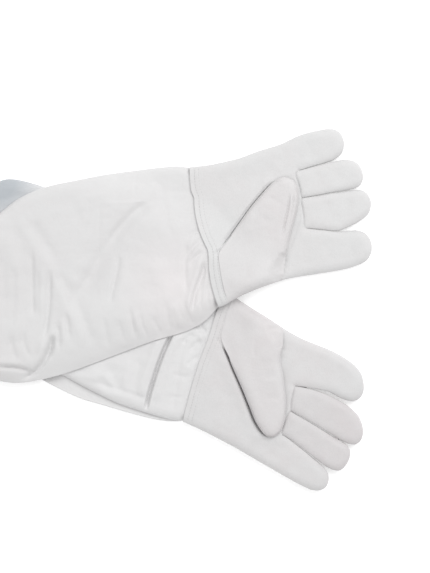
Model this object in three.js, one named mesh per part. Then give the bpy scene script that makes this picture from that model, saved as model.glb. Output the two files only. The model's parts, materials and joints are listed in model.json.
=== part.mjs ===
// A pair of beekeeping gloves: goatskin hands with long cotton canvas gauntlets.
// They lie flat, palms up, the right-hand glove across the wrist of the left-hand one.
// Millimetres. +X runs toward the fingertips, +Y across the pair, +Z up from the table.
import * as THREE from "three";

// ---- Materials as sheets --------------------------------------------------------------
const HIDE = 1.2;               // goatskin
const CANVAS = 0.9;             // cotton canvas
const SEAM_GAP = 0.3;           // air between two sewn edges
const THUMB_AIR = 1.2;          // air between the folded thumb and the palm

// ---- Depths of the glove as it lies ---------------------------------------------------
const WRIST_DEEP = 10;
const HAND_DEEP = 12;
const SLEEVE_DEEP = 9;
const HEM_DEEP = 14;
const THUMB_DEEP = 9;
const FOURCHETTE_HALF = 2.8;    // half height of the strip between finger front and back

// ---- Elasticated hem ------------------------------------------------------------------
const CASING_LONG = 26;
const ELASTIC_THICK = 1.2;
const CASING_THICK = 2 * CANVAS + 2 * SEAM_GAP + ELASTIC_THICK;

// ---- How the upper glove rides over the lower one -------------------------------------
const LIFT = 14.6;              // height of the upper glove where it crosses the lower one
const FALL_START = 8;           // beyond the lower glove's edge
const FALL_LONG = 55;           // and back on the table after this much more

// ---- Middle of the pair on the table, from the line through the two wrists ------------
const PAIR_CENTRE = [-57.2, -17.7];

const HIDE_COLOR = 0xe4e2e2;
const CANVAS_COLOR = 0xe9e7e5;
const ELASTIC_COLOR = 0xf2f1ee;

// ---- The two gloves -------------------------------------------------------------------
// u runs from the wrist seam to the fingers, v from the thumb side to the little finger.
// Edges start at the wrist. A finger is its middle across the knuckles, width and length.
const LEFT = {
  name: "left",
  wrist: [0, -61.2],
  heading: -17.75,
  littleSide: -1,
  knuckle: { at: [108, 30], turn: 12 },
  fingers: {
    index: { mid: -55.7, wide: 40.2, long: 53, inner: 1 },
    middle: { mid: -16.9, wide: 35.6, long: 75, inner: 0 },
    ring: { mid: 17, wide: 30.6, long: 75, inner: 0 },
    little: { mid: 48.5, wide: 30.8, long: 68.5, inner: -1 },
  },
  handThumbEdge: [[0, -72], [15, -65], [54, -55.4], [90, -46.5], [123.6, -43.5]],
  handLittleEdge: [[0, 75.5], [43, 81.6], [67, 86.1], [79, 88.9], [94.7, 92.3]],
  sleeveThumbEdge: [[0, -72], [-35, -91], [-78, -97], [-134, -106], [-180, -112],
    [-222, -115.5], [-255, -111], [-270, -98]],
  sleeveLittleEdge: [[0, 75.5], [-33, 83], [-88, 85.3], [-133, 82.7], [-170, 75],
    [-205, 62], [-240, 44], [-270, 32]],
  thumbWristEdge: [[22, -60], [13, -38], [10, -19], [36, 7], [62, 37], [80, 57], [88, 61]],
  thumbFingerEdge: [[70, -50], [75, -35], [79, -16], [89, 8], [97, 32], [98, 50], [94, 59]],
  handSpans: 3,
  sleeveSpans: 3,
  thumbSpans: 2,
};
const RIGHT = {
  name: "right",
  wrist: [0, 61.2],
  heading: 11.6,
  littleSide: 1,
  knuckle: { at: [107, 0], turn: 0.5 },
  fingers: {
    index: { mid: -42, wide: 39.6, long: 63.5, inner: 1 },
    middle: { mid: -1.7, wide: 38.4, long: 71.5, inner: 0 },
    ring: { mid: 34, wide: 31, long: 69.5, inner: 0 },
    little: { mid: 66.4, wide: 32.2, long: 56.5, inner: -1 },
  },
  handThumbEdge: [[0, -75.5], [21, -69.5], [41, -65], [71, -61], [107.5, -62]],
  handLittleEdge: [[0, 75.5], [27, 73.3], [60, 75.5], [90, 79], [106.3, 82.4]],
  sleeveThumbEdge: [[0, -75.5], [-35, -92], [-78, -96.5], [-134, -105.5], [-180, -111.5],
    [-222, -111], [-245, -103], [-262, -90]],
  sleeveLittleEdge: [[0, 75.5], [-31, 81.4], [-94, 85.3], [-151, 84.6], [-182, 79],
    [-205, 68], [-235, 53], [-262, 45]],
  thumbWristEdge: [[11, -69], [8, -45], [10, -20], [36, 3.5], [62, 25], [80, 39], [89, 43.5]],
  thumbFingerEdge: [[70, -60], [76, -42], [84, -25], [94, -3], [101, 14], [103, 31], [99, 41]],
  handSpans: 8,
  sleeveSpans: 6,
  thumbSpans: 4,
};

// ---- Small helpers --------------------------------------------------------------------
const rad = THREE.MathUtils.degToRad;
const mix = (a, b, t) => a + (b - a) * t;
const mixPoint = (p, q, t) => [mix(p[0], q[0], t), mix(p[1], q[1], t)];
const smooth = (t) => THREE.MathUtils.smoothstep(t, 0, 1);

function curveThrough(points) {
  const curve = new THREE.SplineCurve(points.map(([x, y]) => new THREE.Vector2(x, y)));
  return (t) => curve.getPoint(t).toArray();
}

// Width from the glove's middle line to the lower glove's thumb edge, at any u.
function lowerThumbReach(u) {
  const edge = [...LEFT.sleeveThumbEdge].reverse().concat(LEFT.handThumbEdge.slice(1));
  const last = edge.length - 1;
  if (u <= edge[0][0]) return -edge[0][1];
  if (u >= edge[last][0]) return -edge[last][1];
  const i = edge.findIndex(([eu]) => eu > u);
  const [p, q] = [edge[i - 1], edge[i]];
  return -mix(p[1], q[1], (u - p[0]) / (q[0] - p[0]));
}

// A glove's own u, v to the table.
function toTable(glove, [u, v]) {
  const c = Math.cos(rad(glove.heading));
  const s = Math.sin(rad(glove.heading));
  const w = v * glove.littleSide;
  return [glove.wrist[0] + u * c - w * s, glove.wrist[1] + u * s + w * c];
}

function fromTable(glove, [x, y]) {
  const c = Math.cos(rad(glove.heading));
  const s = Math.sin(rad(glove.heading));
  const [dx, dy] = [x - glove.wrist[0], y - glove.wrist[1]];
  return [dx * c + dy * s, (dy * c - dx * s) * glove.littleSide];
}

// Height of the upper glove above the table.
function rideHeight(x, y) {
  const [u, v] = fromTable(LEFT, [x, y]);
  const beyond = -v - lowerThumbReach(u);
  return LIFT * (1 - smooth((beyond - FALL_START) / FALL_LONG));
}

function place(glove, [u, v, z]) {
  const [x, y] = toTable(glove, [u, v]);
  const ride = glove === RIGHT ? rideHeight(x, y) : 0;
  return [x - PAIR_CENTRE[0], y - PAIR_CENTRE[1], z + ride];
}

// Knuckle axes: d along the fingers, n across them.
function fromKnuckle(glove, [d, n]) {
  const c = Math.cos(rad(glove.knuckle.turn));
  const s = Math.sin(rad(glove.knuckle.turn));
  return [glove.knuckle.at[0] + d * c - n * s, glove.knuckle.at[1] + d * s + n * c];
}

// ---- Closed meshes --------------------------------------------------------------------
function meshFrom(name, points, faces, color) {
  let volume = 0;
  for (const [a, b, c] of faces) {
    const [p, q, r] = [points[a], points[b], points[c]].map((w) => new THREE.Vector3(...w));
    volume += p.dot(q.cross(r));
  }
  const outward = volume > 0 ? faces : faces.map(([a, b, c]) => [a, c, b]);
  const geometry = new THREE.BufferGeometry();
  geometry.setAttribute("position", new THREE.Float32BufferAttribute(points.flat(), 3));
  geometry.setIndex(outward.flat());
  geometry.computeVertexNormals();
  const material = new THREE.MeshStandardMaterial({ color, roughness: 0.8, flatShading: true });
  const mesh = new THREE.Mesh(geometry, material);
  mesh.name = name;
  return mesh;
}

const quad = (a, b, c, d) => [[a, b, c], [a, c, d]];

// Section of an arched sheet: share of the width, share of the rise.
function archSection(shoulder, top, spans) {
  const start = [[0, 0], [shoulder, 0.7]];
  const flat = Array.from({ length: spans + 1 }, (_, i) => [mix(top, 1 - top, i / spans), 1]);
  return [...start, ...flat, [1 - shoulder, 0.7], [1, 0]];
}

// Outline of a sheet moved inward by its own thickness.
function insetEdges(rows, wall, closedStart, closedEnd) {
  const outline = [...rows.map((r) => r.a), ...rows.map((r) => r.b).reverse()];
  const count = outline.length;
  const n = rows.length;
  const turn = Math.sign(outline.reduce((sum, p, i) => {
    const q = outline[(i + 1) % count];
    return sum + p[0] * q[1] - q[0] * p[1];
  }, 0));
  const inward = (p, q) => {
    const long = Math.hypot(q[0] - p[0], q[1] - p[1]);
    return [(-(q[1] - p[1]) / long) * turn, ((q[0] - p[0]) / long) * turn];
  };
  const moved = outline.map((p, i) => {
    const before = inward(outline[(i + count - 1) % count], p);
    const after = inward(p, outline[(i + 1) % count]);
    const open = (!closedStart && (i === 0 || i === count - 1))
      || (!closedEnd && (i === n - 1 || i === n));
    if (open) {
      const partner = outline[count - 1 - i];
      const long = Math.hypot(partner[0] - p[0], partner[1] - p[1]);
      return [p[0] + ((partner[0] - p[0]) / long) * wall, p[1] + ((partner[1] - p[1]) / long) * wall];
    }
    const sum = [before[0] + after[0], before[1] + after[1]];
    const scale = wall / (1 + before[0] * after[0] + before[1] * after[1]);
    return [p[0] + sum[0] * scale, p[1] + sum[1] * scale];
  });
  return rows.map((_, k) => ({ a: moved[k], b: moved[count - 1 - k] }));
}

// An arched sheet of leather or canvas. Each row crosses the piece from a to b:
// za and zb are the heights of its two edges, crown that of its middle, full 0 at a closed tip.
function archedSheet(glove, name, rows, section, wall, color, open = {}, hole = () => false) {
  const { closedStart = false, closedEnd = false } = open;
  const inside = insetEdges(rows, wall, closedStart, closedEnd);
  const n = section.length;
  const points = [];
  for (const skin of ["outer", "inner"]) {
    rows.forEach((row, k) => {
      const [a, b] = skin === "outer" ? [row.a, row.b] : [inside[k].a, inside[k].b];
      const sunk = Math.sign(row.crown - row.za) * wall * row.full;
      const crown = skin === "outer" ? row.crown : row.crown - sunk;
      for (const [share, rise] of section) {
        const edge = mix(row.za, row.zb, share);
        points.push(place(glove, [...mixPoint(a, b, share), mix(edge, crown, rise)]));
      }
    });
  }
  const at = (k, j) => k * n + j;
  const back = rows.length * n;
  const solid = (k, j) => k >= 0 && j >= 0 && k < rows.length - 1 && j < n - 1 && !hole(k, j);
  const faces = [];
  for (let k = 0; k < rows.length - 1; k += 1) {
    for (let j = 0; j < n - 1; j += 1) {
      if (!solid(k, j)) continue;
      const ring = [at(k, j), at(k + 1, j), at(k + 1, j + 1), at(k, j + 1)];
      faces.push(...quad(...ring));
      faces.push(...quad(...ring.map((i) => i + back).reverse()));
      const beside = [solid(k, j - 1), solid(k + 1, j), solid(k, j + 1), solid(k - 1, j)];
      beside.forEach((joined, e) => {
        if (joined) return;
        const [p, q] = [ring[e], ring[(e + 1) % 4]];
        faces.push(...quad(q, p, p + back, q + back));
      });
    }
  }
  return meshFrom(name, points, faces, color);
}

// A bar with the same four-cornered section at every row.
function ribbon(glove, name, sections, color) {
  const points = sections.flat().map((p) => place(glove, p));
  const faces = [];
  for (let k = 0; k < sections.length - 1; k += 1) {
    for (let e = 0; e < 4; e += 1) {
      const f = (e + 1) % 4;
      faces.push(...quad(k * 4 + e, k * 4 + f, k * 4 + 4 + f, k * 4 + 4 + e));
    }
  }
  const last = (sections.length - 1) * 4;
  faces.push(...quad(3, 2, 1, 0));
  faces.push(...quad(last, last + 1, last + 2, last + 3));
  return meshFrom(name, points, faces, color);
}

// ---- Hand -----------------------------------------------------------------------------
function handRows(glove, side) {
  const thumb = curveThrough(glove.handThumbEdge);
  const little = curveThrough(glove.handLittleEdge);
  const steps = 8;
  return Array.from({ length: steps + 1 }, (_, k) => {
    const t = k / steps;
    const deep = mix(WRIST_DEEP, HAND_DEEP, smooth(t * 4));
    const edge = deep / 2 + side * SEAM_GAP / 2;
    return { a: thumb(t), b: little(t), za: edge, zb: edge, crown: side > 0 ? deep : 0, full: 1 };
  });
}

// The palm has the thumb hole; the back is whole.
function palmPanel(glove) {
  const section = archSection(0.012, 0.05, glove.handSpans);
  const width = 1 / glove.handSpans;
  const holed = (k, j) => k >= 2 && k <= 3 && j >= 2 && (j - 1) * width < 0.37;
  const rows = handRows(glove, 1);
  return archedSheet(glove, `${glove.name}_palm_panel`, rows, section, HIDE, HIDE_COLOR, {}, holed);
}

function handBackPanel(glove) {
  const section = archSection(0.012, 0.05, glove.handSpans);
  return archedSheet(glove, `${glove.name}_back_panel`, handRows(glove, -1), section, HIDE, HIDE_COLOR);
}

// ---- Fingers --------------------------------------------------------------------------
const TIP_ANGLES = [30, 55, 75, 90];
const FINGER_SECTION = archSection(0.05, 0.18, 1);

// Stations along a finger: distance from the knuckle, half width, fullness, strip half height.
function fingerStations({ wide, long }) {
  const round = Math.min(wide / 2 - 3.5, 14);
  const straight = long - round;
  const stations = [0, 0.35, 0.7, 1].map((t) => ({ d: straight * t, half: wide / 2 - t * 0.8, full: 1 }));
  for (const angle of TIP_ANGLES) {
    stations.push({
      d: straight + round * Math.sin(rad(angle)),
      half: wide / 2 - 0.8 - round * (1 - Math.cos(rad(angle))),
      full: angle === 90 ? 0 : Math.sqrt(Math.cos(rad(angle))),
    });
  }
  return stations.map((s) => ({ ...s, strip: FOURCHETTE_HALF * (1 - (s.d / long) ** 4) }));
}

function fingerRows(glove, finger, side) {
  const mid = HAND_DEEP / 2;
  return fingerStations(finger).map(({ d, half, full, strip }) => {
    const start = d + SEAM_GAP;
    const hasStrip = (at) => (finger.inner === 0 || finger.inner === at ? strip : 0);
    return {
      a: fromKnuckle(glove, [start, finger.mid - half]),
      b: fromKnuckle(glove, [start, finger.mid + half]),
      za: mid + side * (SEAM_GAP / 2 + hasStrip(-1)),
      zb: mid + side * (SEAM_GAP / 2 + hasStrip(1)),
      crown: mid + side * mix(SEAM_GAP / 2, mid, full),
      full,
    };
  });
}

function fingerPanel(glove, key, side) {
  const name = `${glove.name}_${key}_${side > 0 ? "front" : "back"}`;
  const rows = fingerRows(glove, glove.fingers[key], side);
  return archedSheet(glove, name, rows, FINGER_SECTION, HIDE, HIDE_COLOR, { closedEnd: true });
}

// Fourchette: the strip between the front and the back on a side that faces another finger.
function fourchette(glove, key, at) {
  const finger = glove.fingers[key];
  const rows = fingerRows(glove, finger, 1);
  const inside = insetEdges(rows, HIDE, false, true);
  const mid = HAND_DEEP / 2;
  const sections = fingerStations(finger).slice(0, 6).map(({ strip }, k) => {
    const high = strip - SEAM_GAP / 2;
    const [p, q] = at < 0 ? [rows[k].a, inside[k].a] : [rows[k].b, inside[k].b];
    return [[...p, mid - high], [...p, mid + high], [...q, mid + high], [...q, mid - high]];
  });
  const side = at < 0 ? "thumbward" : "outward";
  return ribbon(glove, `${glove.name}_${key}_fourchette_${side}`, sections, HIDE_COLOR);
}

function fingers(glove) {
  return Object.entries(glove.fingers).flatMap(([key, finger]) => {
    const strips = [-1, 1].filter((at) => finger.inner === 0 || finger.inner === at);
    return [
      fingerPanel(glove, key, 1),
      fingerPanel(glove, key, -1),
      ...strips.map((at) => fourchette(glove, key, at)),
    ];
  });
}

// ---- Thumb, folded flat over the palm -------------------------------------------------
const THUMB_STATIONS = [[0, 0], [0.03, 0.75], [0.17, 1], [0.34, 1], [0.52, 1], [0.7, 1],
  [0.86, 0.95], [0.96, 0.65], [1, 0]];

function thumbRows(glove, side) {
  const wristEdge = curveThrough(glove.thumbWristEdge);
  const fingerEdge = curveThrough(glove.thumbFingerEdge);
  const mid = HAND_DEEP + THUMB_AIR + THUMB_DEEP / 2;
  return THUMB_STATIONS.map(([t, full]) => {
    const edge = mid + side * SEAM_GAP / 2;
    const crown = mid + side * mix(SEAM_GAP / 2, THUMB_DEEP / 2, full);
    return { a: wristEdge(t), b: fingerEdge(t), za: edge, zb: edge, crown, full };
  });
}

// The under side has the hole that a thumb comes up through.
function thumbPanel(glove, side) {
  const section = archSection(0.03, 0.12, glove.thumbSpans);
  const holed = (k, j) => side < 0 && k >= 1 && k <= 2 && j >= 2 && j < 2 + glove.thumbSpans;
  const name = `${glove.name}_thumb_${side > 0 ? "back" : "front"}`;
  const closed = { closedStart: true, closedEnd: true };
  return archedSheet(glove, name, thumbRows(glove, side), section, HIDE, HIDE_COLOR, closed, holed);
}

// ---- Gauntlet sleeve ------------------------------------------------------------------
function sleeveRows(glove, side) {
  const thumb = curveThrough(glove.sleeveThumbEdge);
  const little = curveThrough(glove.sleeveLittleEdge);
  const steps = 12;
  const fromWrist = ([u, v]) => [Math.min(u, -SEAM_GAP), v];
  return Array.from({ length: steps + 1 }, (_, k) => {
    const t = k / steps;
    const wrist = (WRIST_DEEP - SLEEVE_DEEP) * (1 - smooth(t * 6));
    const gather = (HEM_DEEP - SLEEVE_DEEP) * smooth((t - 0.7) / 0.3);
    const deep = SLEEVE_DEEP + wrist + gather;
    const edge = deep / 2 + side * SEAM_GAP / 2;
    const crown = side > 0 ? deep : 0;
    return { a: fromWrist(thumb(t)), b: fromWrist(little(t)), za: edge, zb: edge, crown, full: 1 };
  });
}

function sleevePanel(glove, side) {
  const section = archSection(0.012, 0.05, glove.sleeveSpans);
  const name = `${glove.name}_gauntlet_${side > 0 ? "palm" : "back"}_panel`;
  return archedSheet(glove, name, sleeveRows(glove, side), section, CANVAS, CANVAS_COLOR);
}

// A flattened ring round the sleeve mouth. The profile is distance past the panels, depth in.
function mouthRing(glove, name, profile, color) {
  const a = glove.sleeveThumbEdge.at(-1);
  const b = glove.sleeveLittleEdge.at(-1);
  const width = Math.hypot(b[0] - a[0], b[1] - a[1]);
  const across = [(b[0] - a[0]) / width, (b[1] - a[1]) / width];
  const out = [-across[1], across[0]];
  const middle = mixPoint(a, b, 0.5);
  const steps = 20;
  const bulge = (w) => Math.sign(w) * Math.sqrt(Math.abs(w));
  const points = [];
  for (let i = 0; i < steps; i += 1) {
    const angle = ((i + 0.5) / steps) * 2 * Math.PI;
    for (const [past, inward] of profile) {
      const side = bulge(Math.cos(angle)) * (width / 2 - inward);
      const z = HEM_DEEP / 2 + bulge(Math.sin(angle)) * (HEM_DEEP / 2 - inward);
      const u = middle[0] + across[0] * side + out[0] * past;
      const v = middle[1] + across[1] * side + out[1] * past;
      points.push(place(glove, [u, v, z]));
    }
  }
  const m = profile.length;
  const faces = [];
  for (let i = 0; i < steps; i += 1) {
    const next = ((i + 1) % steps) * m;
    for (let j = 0; j < m; j += 1) {
      const k = (j + 1) % m;
      faces.push(...quad(i * m + j, i * m + k, next + k, next + j));
    }
  }
  return meshFrom(name, points, faces, color);
}

// The hem is turned in and back to a channel that opens inside the sleeve.
function hemCasing(glove) {
  const start = SEAM_GAP;
  const end = start + CASING_LONG;
  const profile = [
    [start, 0],
    [end, 0],
    [end, CASING_THICK],
    [start, CASING_THICK],
    [start, CASING_THICK - CANVAS],
    [end - CANVAS, CASING_THICK - CANVAS],
    [end - CANVAS, CANVAS],
    [start, CANVAS],
  ];
  return mouthRing(glove, `${glove.name}_gauntlet_hem_casing`, profile, CANVAS_COLOR);
}

function hemElastic(glove) {
  const start = 2 * SEAM_GAP + 1;
  const end = SEAM_GAP + CASING_LONG - CANVAS - SEAM_GAP;
  const near = CANVAS + SEAM_GAP;
  const profile = [[start, near], [end, near], [end, near + ELASTIC_THICK], [start, near + ELASTIC_THICK]];
  return mouthRing(glove, `${glove.name}_gauntlet_hem_elastic`, profile, ELASTIC_COLOR);
}

// ---- One glove ------------------------------------------------------------------------
function gloveParts(glove) {
  return [
    sleevePanel(glove, 1),
    sleevePanel(glove, -1),
    hemCasing(glove),
    hemElastic(glove),
    palmPanel(glove),
    handBackPanel(glove),
    thumbPanel(glove, 1),
    thumbPanel(glove, -1),
    ...fingers(glove),
  ];
}

const pair = new THREE.Group();
pair.name = "beekeeping_gloves";
pair.add(...gloveParts(LEFT), ...gloveParts(RIGHT));
export default pair;
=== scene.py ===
# A pair of white goatskin beekeeping gloves with long cotton canvas gauntlets, palms up,
# the right-hand glove lying across the wrist of the left-hand one.
# Shapes are worked out in millimetres and written in metres in the frame of the CAD.
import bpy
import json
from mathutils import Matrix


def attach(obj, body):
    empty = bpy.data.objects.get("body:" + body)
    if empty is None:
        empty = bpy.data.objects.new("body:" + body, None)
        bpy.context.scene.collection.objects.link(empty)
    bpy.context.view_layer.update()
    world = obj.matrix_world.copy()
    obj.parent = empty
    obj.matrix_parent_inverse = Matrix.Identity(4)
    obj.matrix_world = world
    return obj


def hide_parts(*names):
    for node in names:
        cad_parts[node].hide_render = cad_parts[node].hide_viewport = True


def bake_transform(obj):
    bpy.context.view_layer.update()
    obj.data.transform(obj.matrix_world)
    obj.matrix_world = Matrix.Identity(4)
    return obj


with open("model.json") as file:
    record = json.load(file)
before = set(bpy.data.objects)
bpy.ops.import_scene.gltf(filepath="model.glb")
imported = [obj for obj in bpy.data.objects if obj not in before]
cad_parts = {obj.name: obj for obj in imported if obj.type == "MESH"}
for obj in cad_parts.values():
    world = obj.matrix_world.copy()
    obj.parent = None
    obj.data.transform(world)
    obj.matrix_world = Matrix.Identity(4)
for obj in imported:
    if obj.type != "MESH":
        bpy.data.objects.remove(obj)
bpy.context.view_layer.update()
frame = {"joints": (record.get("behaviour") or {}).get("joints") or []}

import json
import math
import bmesh
import bpy
import numpy as np
from mathutils import Vector

MM = 0.001

# ---- Sizes that the pieces share with the CAD, in millimetres ---------------------------
HIDE = 1.2
CANVAS = 0.9
FOURCHETTE = 0.9
WRIST_DEEP = 10.0
HAND_DEEP = 12.0
SLEEVE_DEEP = 9.0
HEM_DEEP = 14.0
MID = HAND_DEEP / 2
SEAM_GAP = 0.15                 # half the gap between two hides along their seam
STRIP_HALF = 2.8                # half height of a fourchette
THUMB_TOP = 21.4
WRIST_LOW = 11.9
THUMB_LOW = 12.7
THUMB_EDGE = 16.2
CUFF_ROWS = (4.9, 9.4)          # the two rows of stitches, from the edge of the leather
CUFF_FULL = 7.0                 # between them the leather stands up a little
PRESSED_SEAM = 1.2              # the side seam that lies on the lower glove
SLEEVE_SEAM = 1.9               # the other side seams of the canvas, near the table
CASING_LONG = 26.0
CASING_THICK = 3.6
PLEATS = 17
FADE = 13.0                     # length over which a crease dies out at its ends
FINGER_BEND = 17.0              # length past a knuckle to the second point given for a finger's hinge
WRIST_BEND = (2.0, 10.5)
FOLDS = {"left": 1.15, "right": 0.95}      # how strongly the folds of the canvas are pressed in

# The upper glove: its height, where it comes down beside the lower one, how far it settles on it.
LIFT, FALL_START, FALL_LONG = 14.6, 8.0, 55.0
SAG = 5.2
CLEAR = 0.4                     # between the two gloves where one lies on the other
PAIR_CENTRE = np.array((-57.2, -17.7))

# ---- Curves -----------------------------------------------------------------------------


def smooth(x):
    x = np.clip(x, 0.0, 1.0)
    return x * x * (3 - 2 * x)


def spline(points, per=14):
    """A smooth line through the points, as many short steps."""
    p = np.array(points, float)
    if len(p) < 3:
        t = np.linspace(0, 1, per + 1)[:, None]
        return p[0] + (p[-1] - p[0]) * t
    ends = np.vstack([2 * p[0] - p[1], p, 2 * p[-1] - p[-2]])
    out = []
    for i in range(len(p) - 1):
        a, b, c, d = ends[i:i + 4]
        knots = [0.0]
        for q, r in ((a, b), (b, c), (c, d)):
            knots.append(knots[-1] + max(np.linalg.norm(r - q), 1e-6) ** 0.5)
        k0, k1, k2, k3 = knots
        t = np.linspace(k1, k2, per, endpoint=False)[:, None]
        a1 = (k1 - t) / (k1 - k0) * a + (t - k0) / (k1 - k0) * b
        a2 = (k2 - t) / (k2 - k1) * b + (t - k1) / (k2 - k1) * c
        a3 = (k3 - t) / (k3 - k2) * c + (t - k2) / (k3 - k2) * d
        b1 = (k2 - t) / (k2 - k0) * a1 + (t - k0) / (k2 - k0) * a2
        b2 = (k3 - t) / (k3 - k1) * a2 + (t - k1) / (k3 - k1) * a3
        out.append((k2 - t) / (k2 - k1) * b1 + (t - k1) / (k2 - k1) * b2)
    return np.vstack(out + [p[-1:]])


def join(*lines):
    """Several lines end to end."""
    out = [np.array(lines[0], float)]
    for line in lines[1:]:
        out.append(np.array(line, float)[1:])
    return np.vstack(out)


def along(line, t):
    """Points at shares t of a line's length."""
    steps = np.linalg.norm(np.diff(line, axis=0), axis=1)
    at = np.concatenate([[0], np.cumsum(steps)])
    t = np.asarray(t, float) * at[-1]
    return np.stack([np.interp(t, at, line[:, k]) for k in range(line.shape[1])], -1)


def length_of(line):
    return float(np.linalg.norm(np.diff(line, axis=0), axis=1).sum())


def nearest(line, points):
    """Distance of each point to a line, the share of its length there, and the side the point is on."""
    a, b = line[:-1], line[1:]
    ab = b - a
    seg = np.maximum((ab ** 2).sum(1), 1e-12)
    starts = np.concatenate([[0], np.cumsum(np.sqrt(seg))])
    best = np.full(len(points), 1e18)
    share = np.zeros(len(points))
    side = np.ones(len(points))
    for i in range(len(a)):
        ap = points - a[i]
        t = np.clip((ap @ ab[i]) / seg[i], 0, 1)
        d = ((ap - t[:, None] * ab[i]) ** 2).sum(1)
        m = d < best
        best[m] = d[m]
        share[m] = (starts[i] + t[m] * math.sqrt(seg[i])) / starts[-1]
        cross = ab[i][0] * ap[:, 1] - ab[i][1] * ap[:, 0]
        side[m] = np.where(cross[m] < 0, -1.0, 1.0)
    return np.sqrt(best), share, side


# ---- Smooth noise -----------------------------------------------------------------------
HASH = np.random.RandomState(20).permutation(512)
ANGLES = np.random.RandomState(21).rand(512) * 2 * math.pi


def perlin(x, y, seed=0):
    xi, yi = np.floor(x).astype(int), np.floor(y).astype(int)
    fx, fy = x - xi, y - yi
    ux, uy = fx ** 3 * (fx * (fx * 6 - 15) + 10), fy ** 3 * (fy * (fy * 6 - 15) + 10)

    def corner(dx, dy):
        angle = ANGLES[HASH[(HASH[(xi + dx + 37 * seed) & 511] + yi + dy) & 511]]
        return np.cos(angle) * (fx - dx) + np.sin(angle) * (fy - dy)

    top = corner(0, 0) * (1 - ux) + corner(1, 0) * ux
    low = corner(0, 1) * (1 - ux) + corner(1, 1) * ux
    return (top * (1 - uy) + low * uy) * 1.5


# ---- The two gloves ---------------------------------------------------------------------
# Local u runs from the wrist to the fingers, v from the thumb side to the little finger.
# side is -1 for the left glove, whose v runs the other way round on the table. A finger has three
# lines: its thumbward side, its tip, and its outward side. All in millimetres.
def pairs(*numbers):
    return [tuple(numbers[i:i + 2]) for i in range(0, len(numbers), 2)]


LEFT = dict(
    name="left", wrist=(0, -61.2), heading=-17.75, side=-1, knuckle=((108, 30), 12.0),
    cuff=pairs(0, -72, -0.6, -60, -1.3, -36.5, -0.9, -18, -2.4, 8, -2.4, 32, -1.1, 60, -0.1, 75.5),
    thumb_side=pairs(0, -72, 15, -65, 31, -61, 54, -55.4, 70, -50.8, 90.5, -46.3, 113, -44.4),
    little_side=pairs(-0.1, 75.5, 20, 77.9, 43, 81.6, 67, 86.1, 79, 88.9, 95, 92.3),
    seam_middle=pairs(100.9, 3.6, 101.1, 11, 102.1, 20.8, 104.8, 30.1),
    seam_ring=pairs(104.8, 30.1, 103.4, 33.0, 102.2, 38.4, 101.9, 45, 102.0, 51, 102.7, 54.8, 104.6, 56.4),
    fingers=dict(
        index=(pairs(113, -44.4, 124.4, -43.7, 142, -40.4, 154, -36.6),
               pairs(154, -36.6, 162.8, -30.6, 169, -21.5, 171.7, -12, 169.5, -4, 163.5, 0.8, 156, 1.8),
               pairs(100.9, 3.6, 108, 2.1, 116, 0.9, 127.5, -0.6, 138.2, -1.2, 148, 0.8, 156, 1.8)),
        middle=(pairs(100.9, 3.6, 108, 2.6, 116, 1.7, 127.7, 1.4, 138.8, 2.2, 156.3, 5.2, 166, 8.5),
                pairs(166, 8.5, 174, 13, 181, 21, 184.6, 29, 184.6, 37.5, 180, 43.3, 173, 44.6),
                pairs(104.8, 30.1, 110, 31.0, 118, 32.4, 133.3, 35.6, 150, 39.6, 165, 43.4, 173, 44.6)),
        ring=(pairs(104.8, 30.1, 110, 31.4, 118, 33.1, 133.3, 36.6, 150, 40.8, 163, 44.2),
              pairs(163, 44.2, 171.5, 45.6, 177, 50.5, 179, 58, 177.3, 68, 173, 74.3, 165, 75.8),
              pairs(104.6, 56.4, 110, 57.7, 116, 59.4, 125.5, 62.6, 140, 67.9, 150, 71.6, 157, 74.2,
                    165, 75.8)),
        little=(pairs(104.6, 56.4, 110, 58.0, 116, 60.0, 125.5, 63.6, 140, 69.3, 150, 73.1, 156, 75.8),
                pairs(156, 75.8, 161.8, 80, 165.3, 87.5, 164.5, 95.5, 158.5, 101, 150, 102.9),
                pairs(95, 92.3, 102.2, 93.8, 120, 97.8, 137.6, 101.2, 150, 102.9)),
    ),
    thumb_base=pairs(11, -66.6, 31, -61, 54, -55.4, 70, -50.9),
    thumb_wrist=pairs(11, -66.6, 9.6, -50, 9.8, -35, 10.6, -24, 13, -18.4),
    thumb_crease=pairs(13, -18.4, 21.5, -9.2, 35.2, 6, 49.2, 21.6, 61.7, 36.4, 72.5, 49.4, 81, 57.3),
    thumb_tip=pairs(81, 57.3, 88, 61, 94.9, 60.2, 99.5, 54, 100.7, 46),
    thumb_seam=pairs(70, -50.9, 74, -40, 75.6, -33.6),
    thumb_right=pairs(75.6, -33.6, 76, -26, 78.2, -15.6, 84.4, -3.4, 91.1, 11, 95.3, 21, 99.2, 34, 100.7, 46),
    sleeve_thumb=pairs(1.5, -70.2, -4, -74.4, -16, -83, -35, -91, -78, -97, -134, -106, -180, -112,
                       -222, -115.5, -255, -111, -270, -98),
    sleeve_little=pairs(1.5, 74, -4, 76.6, -16, 80.4, -33, 83, -66, 84.5, -88, 85, -110, 85.4, -133, 82.7,
                        -155, 79, -170, 75, -205, 62, -240, 44, -270, 32),
    sleeve_top_edge=pairs(1.5, 74, -4, 76, -13, 77.4, -35, 78.6, -51.5, 78.6, -70, 78.4, -91, 75.6,
                          -114, 71.8, -137, 67.6, -155, 66.5, -170, 66, -205, 57.6, -240, 42.6, -270, 32),
)
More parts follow.
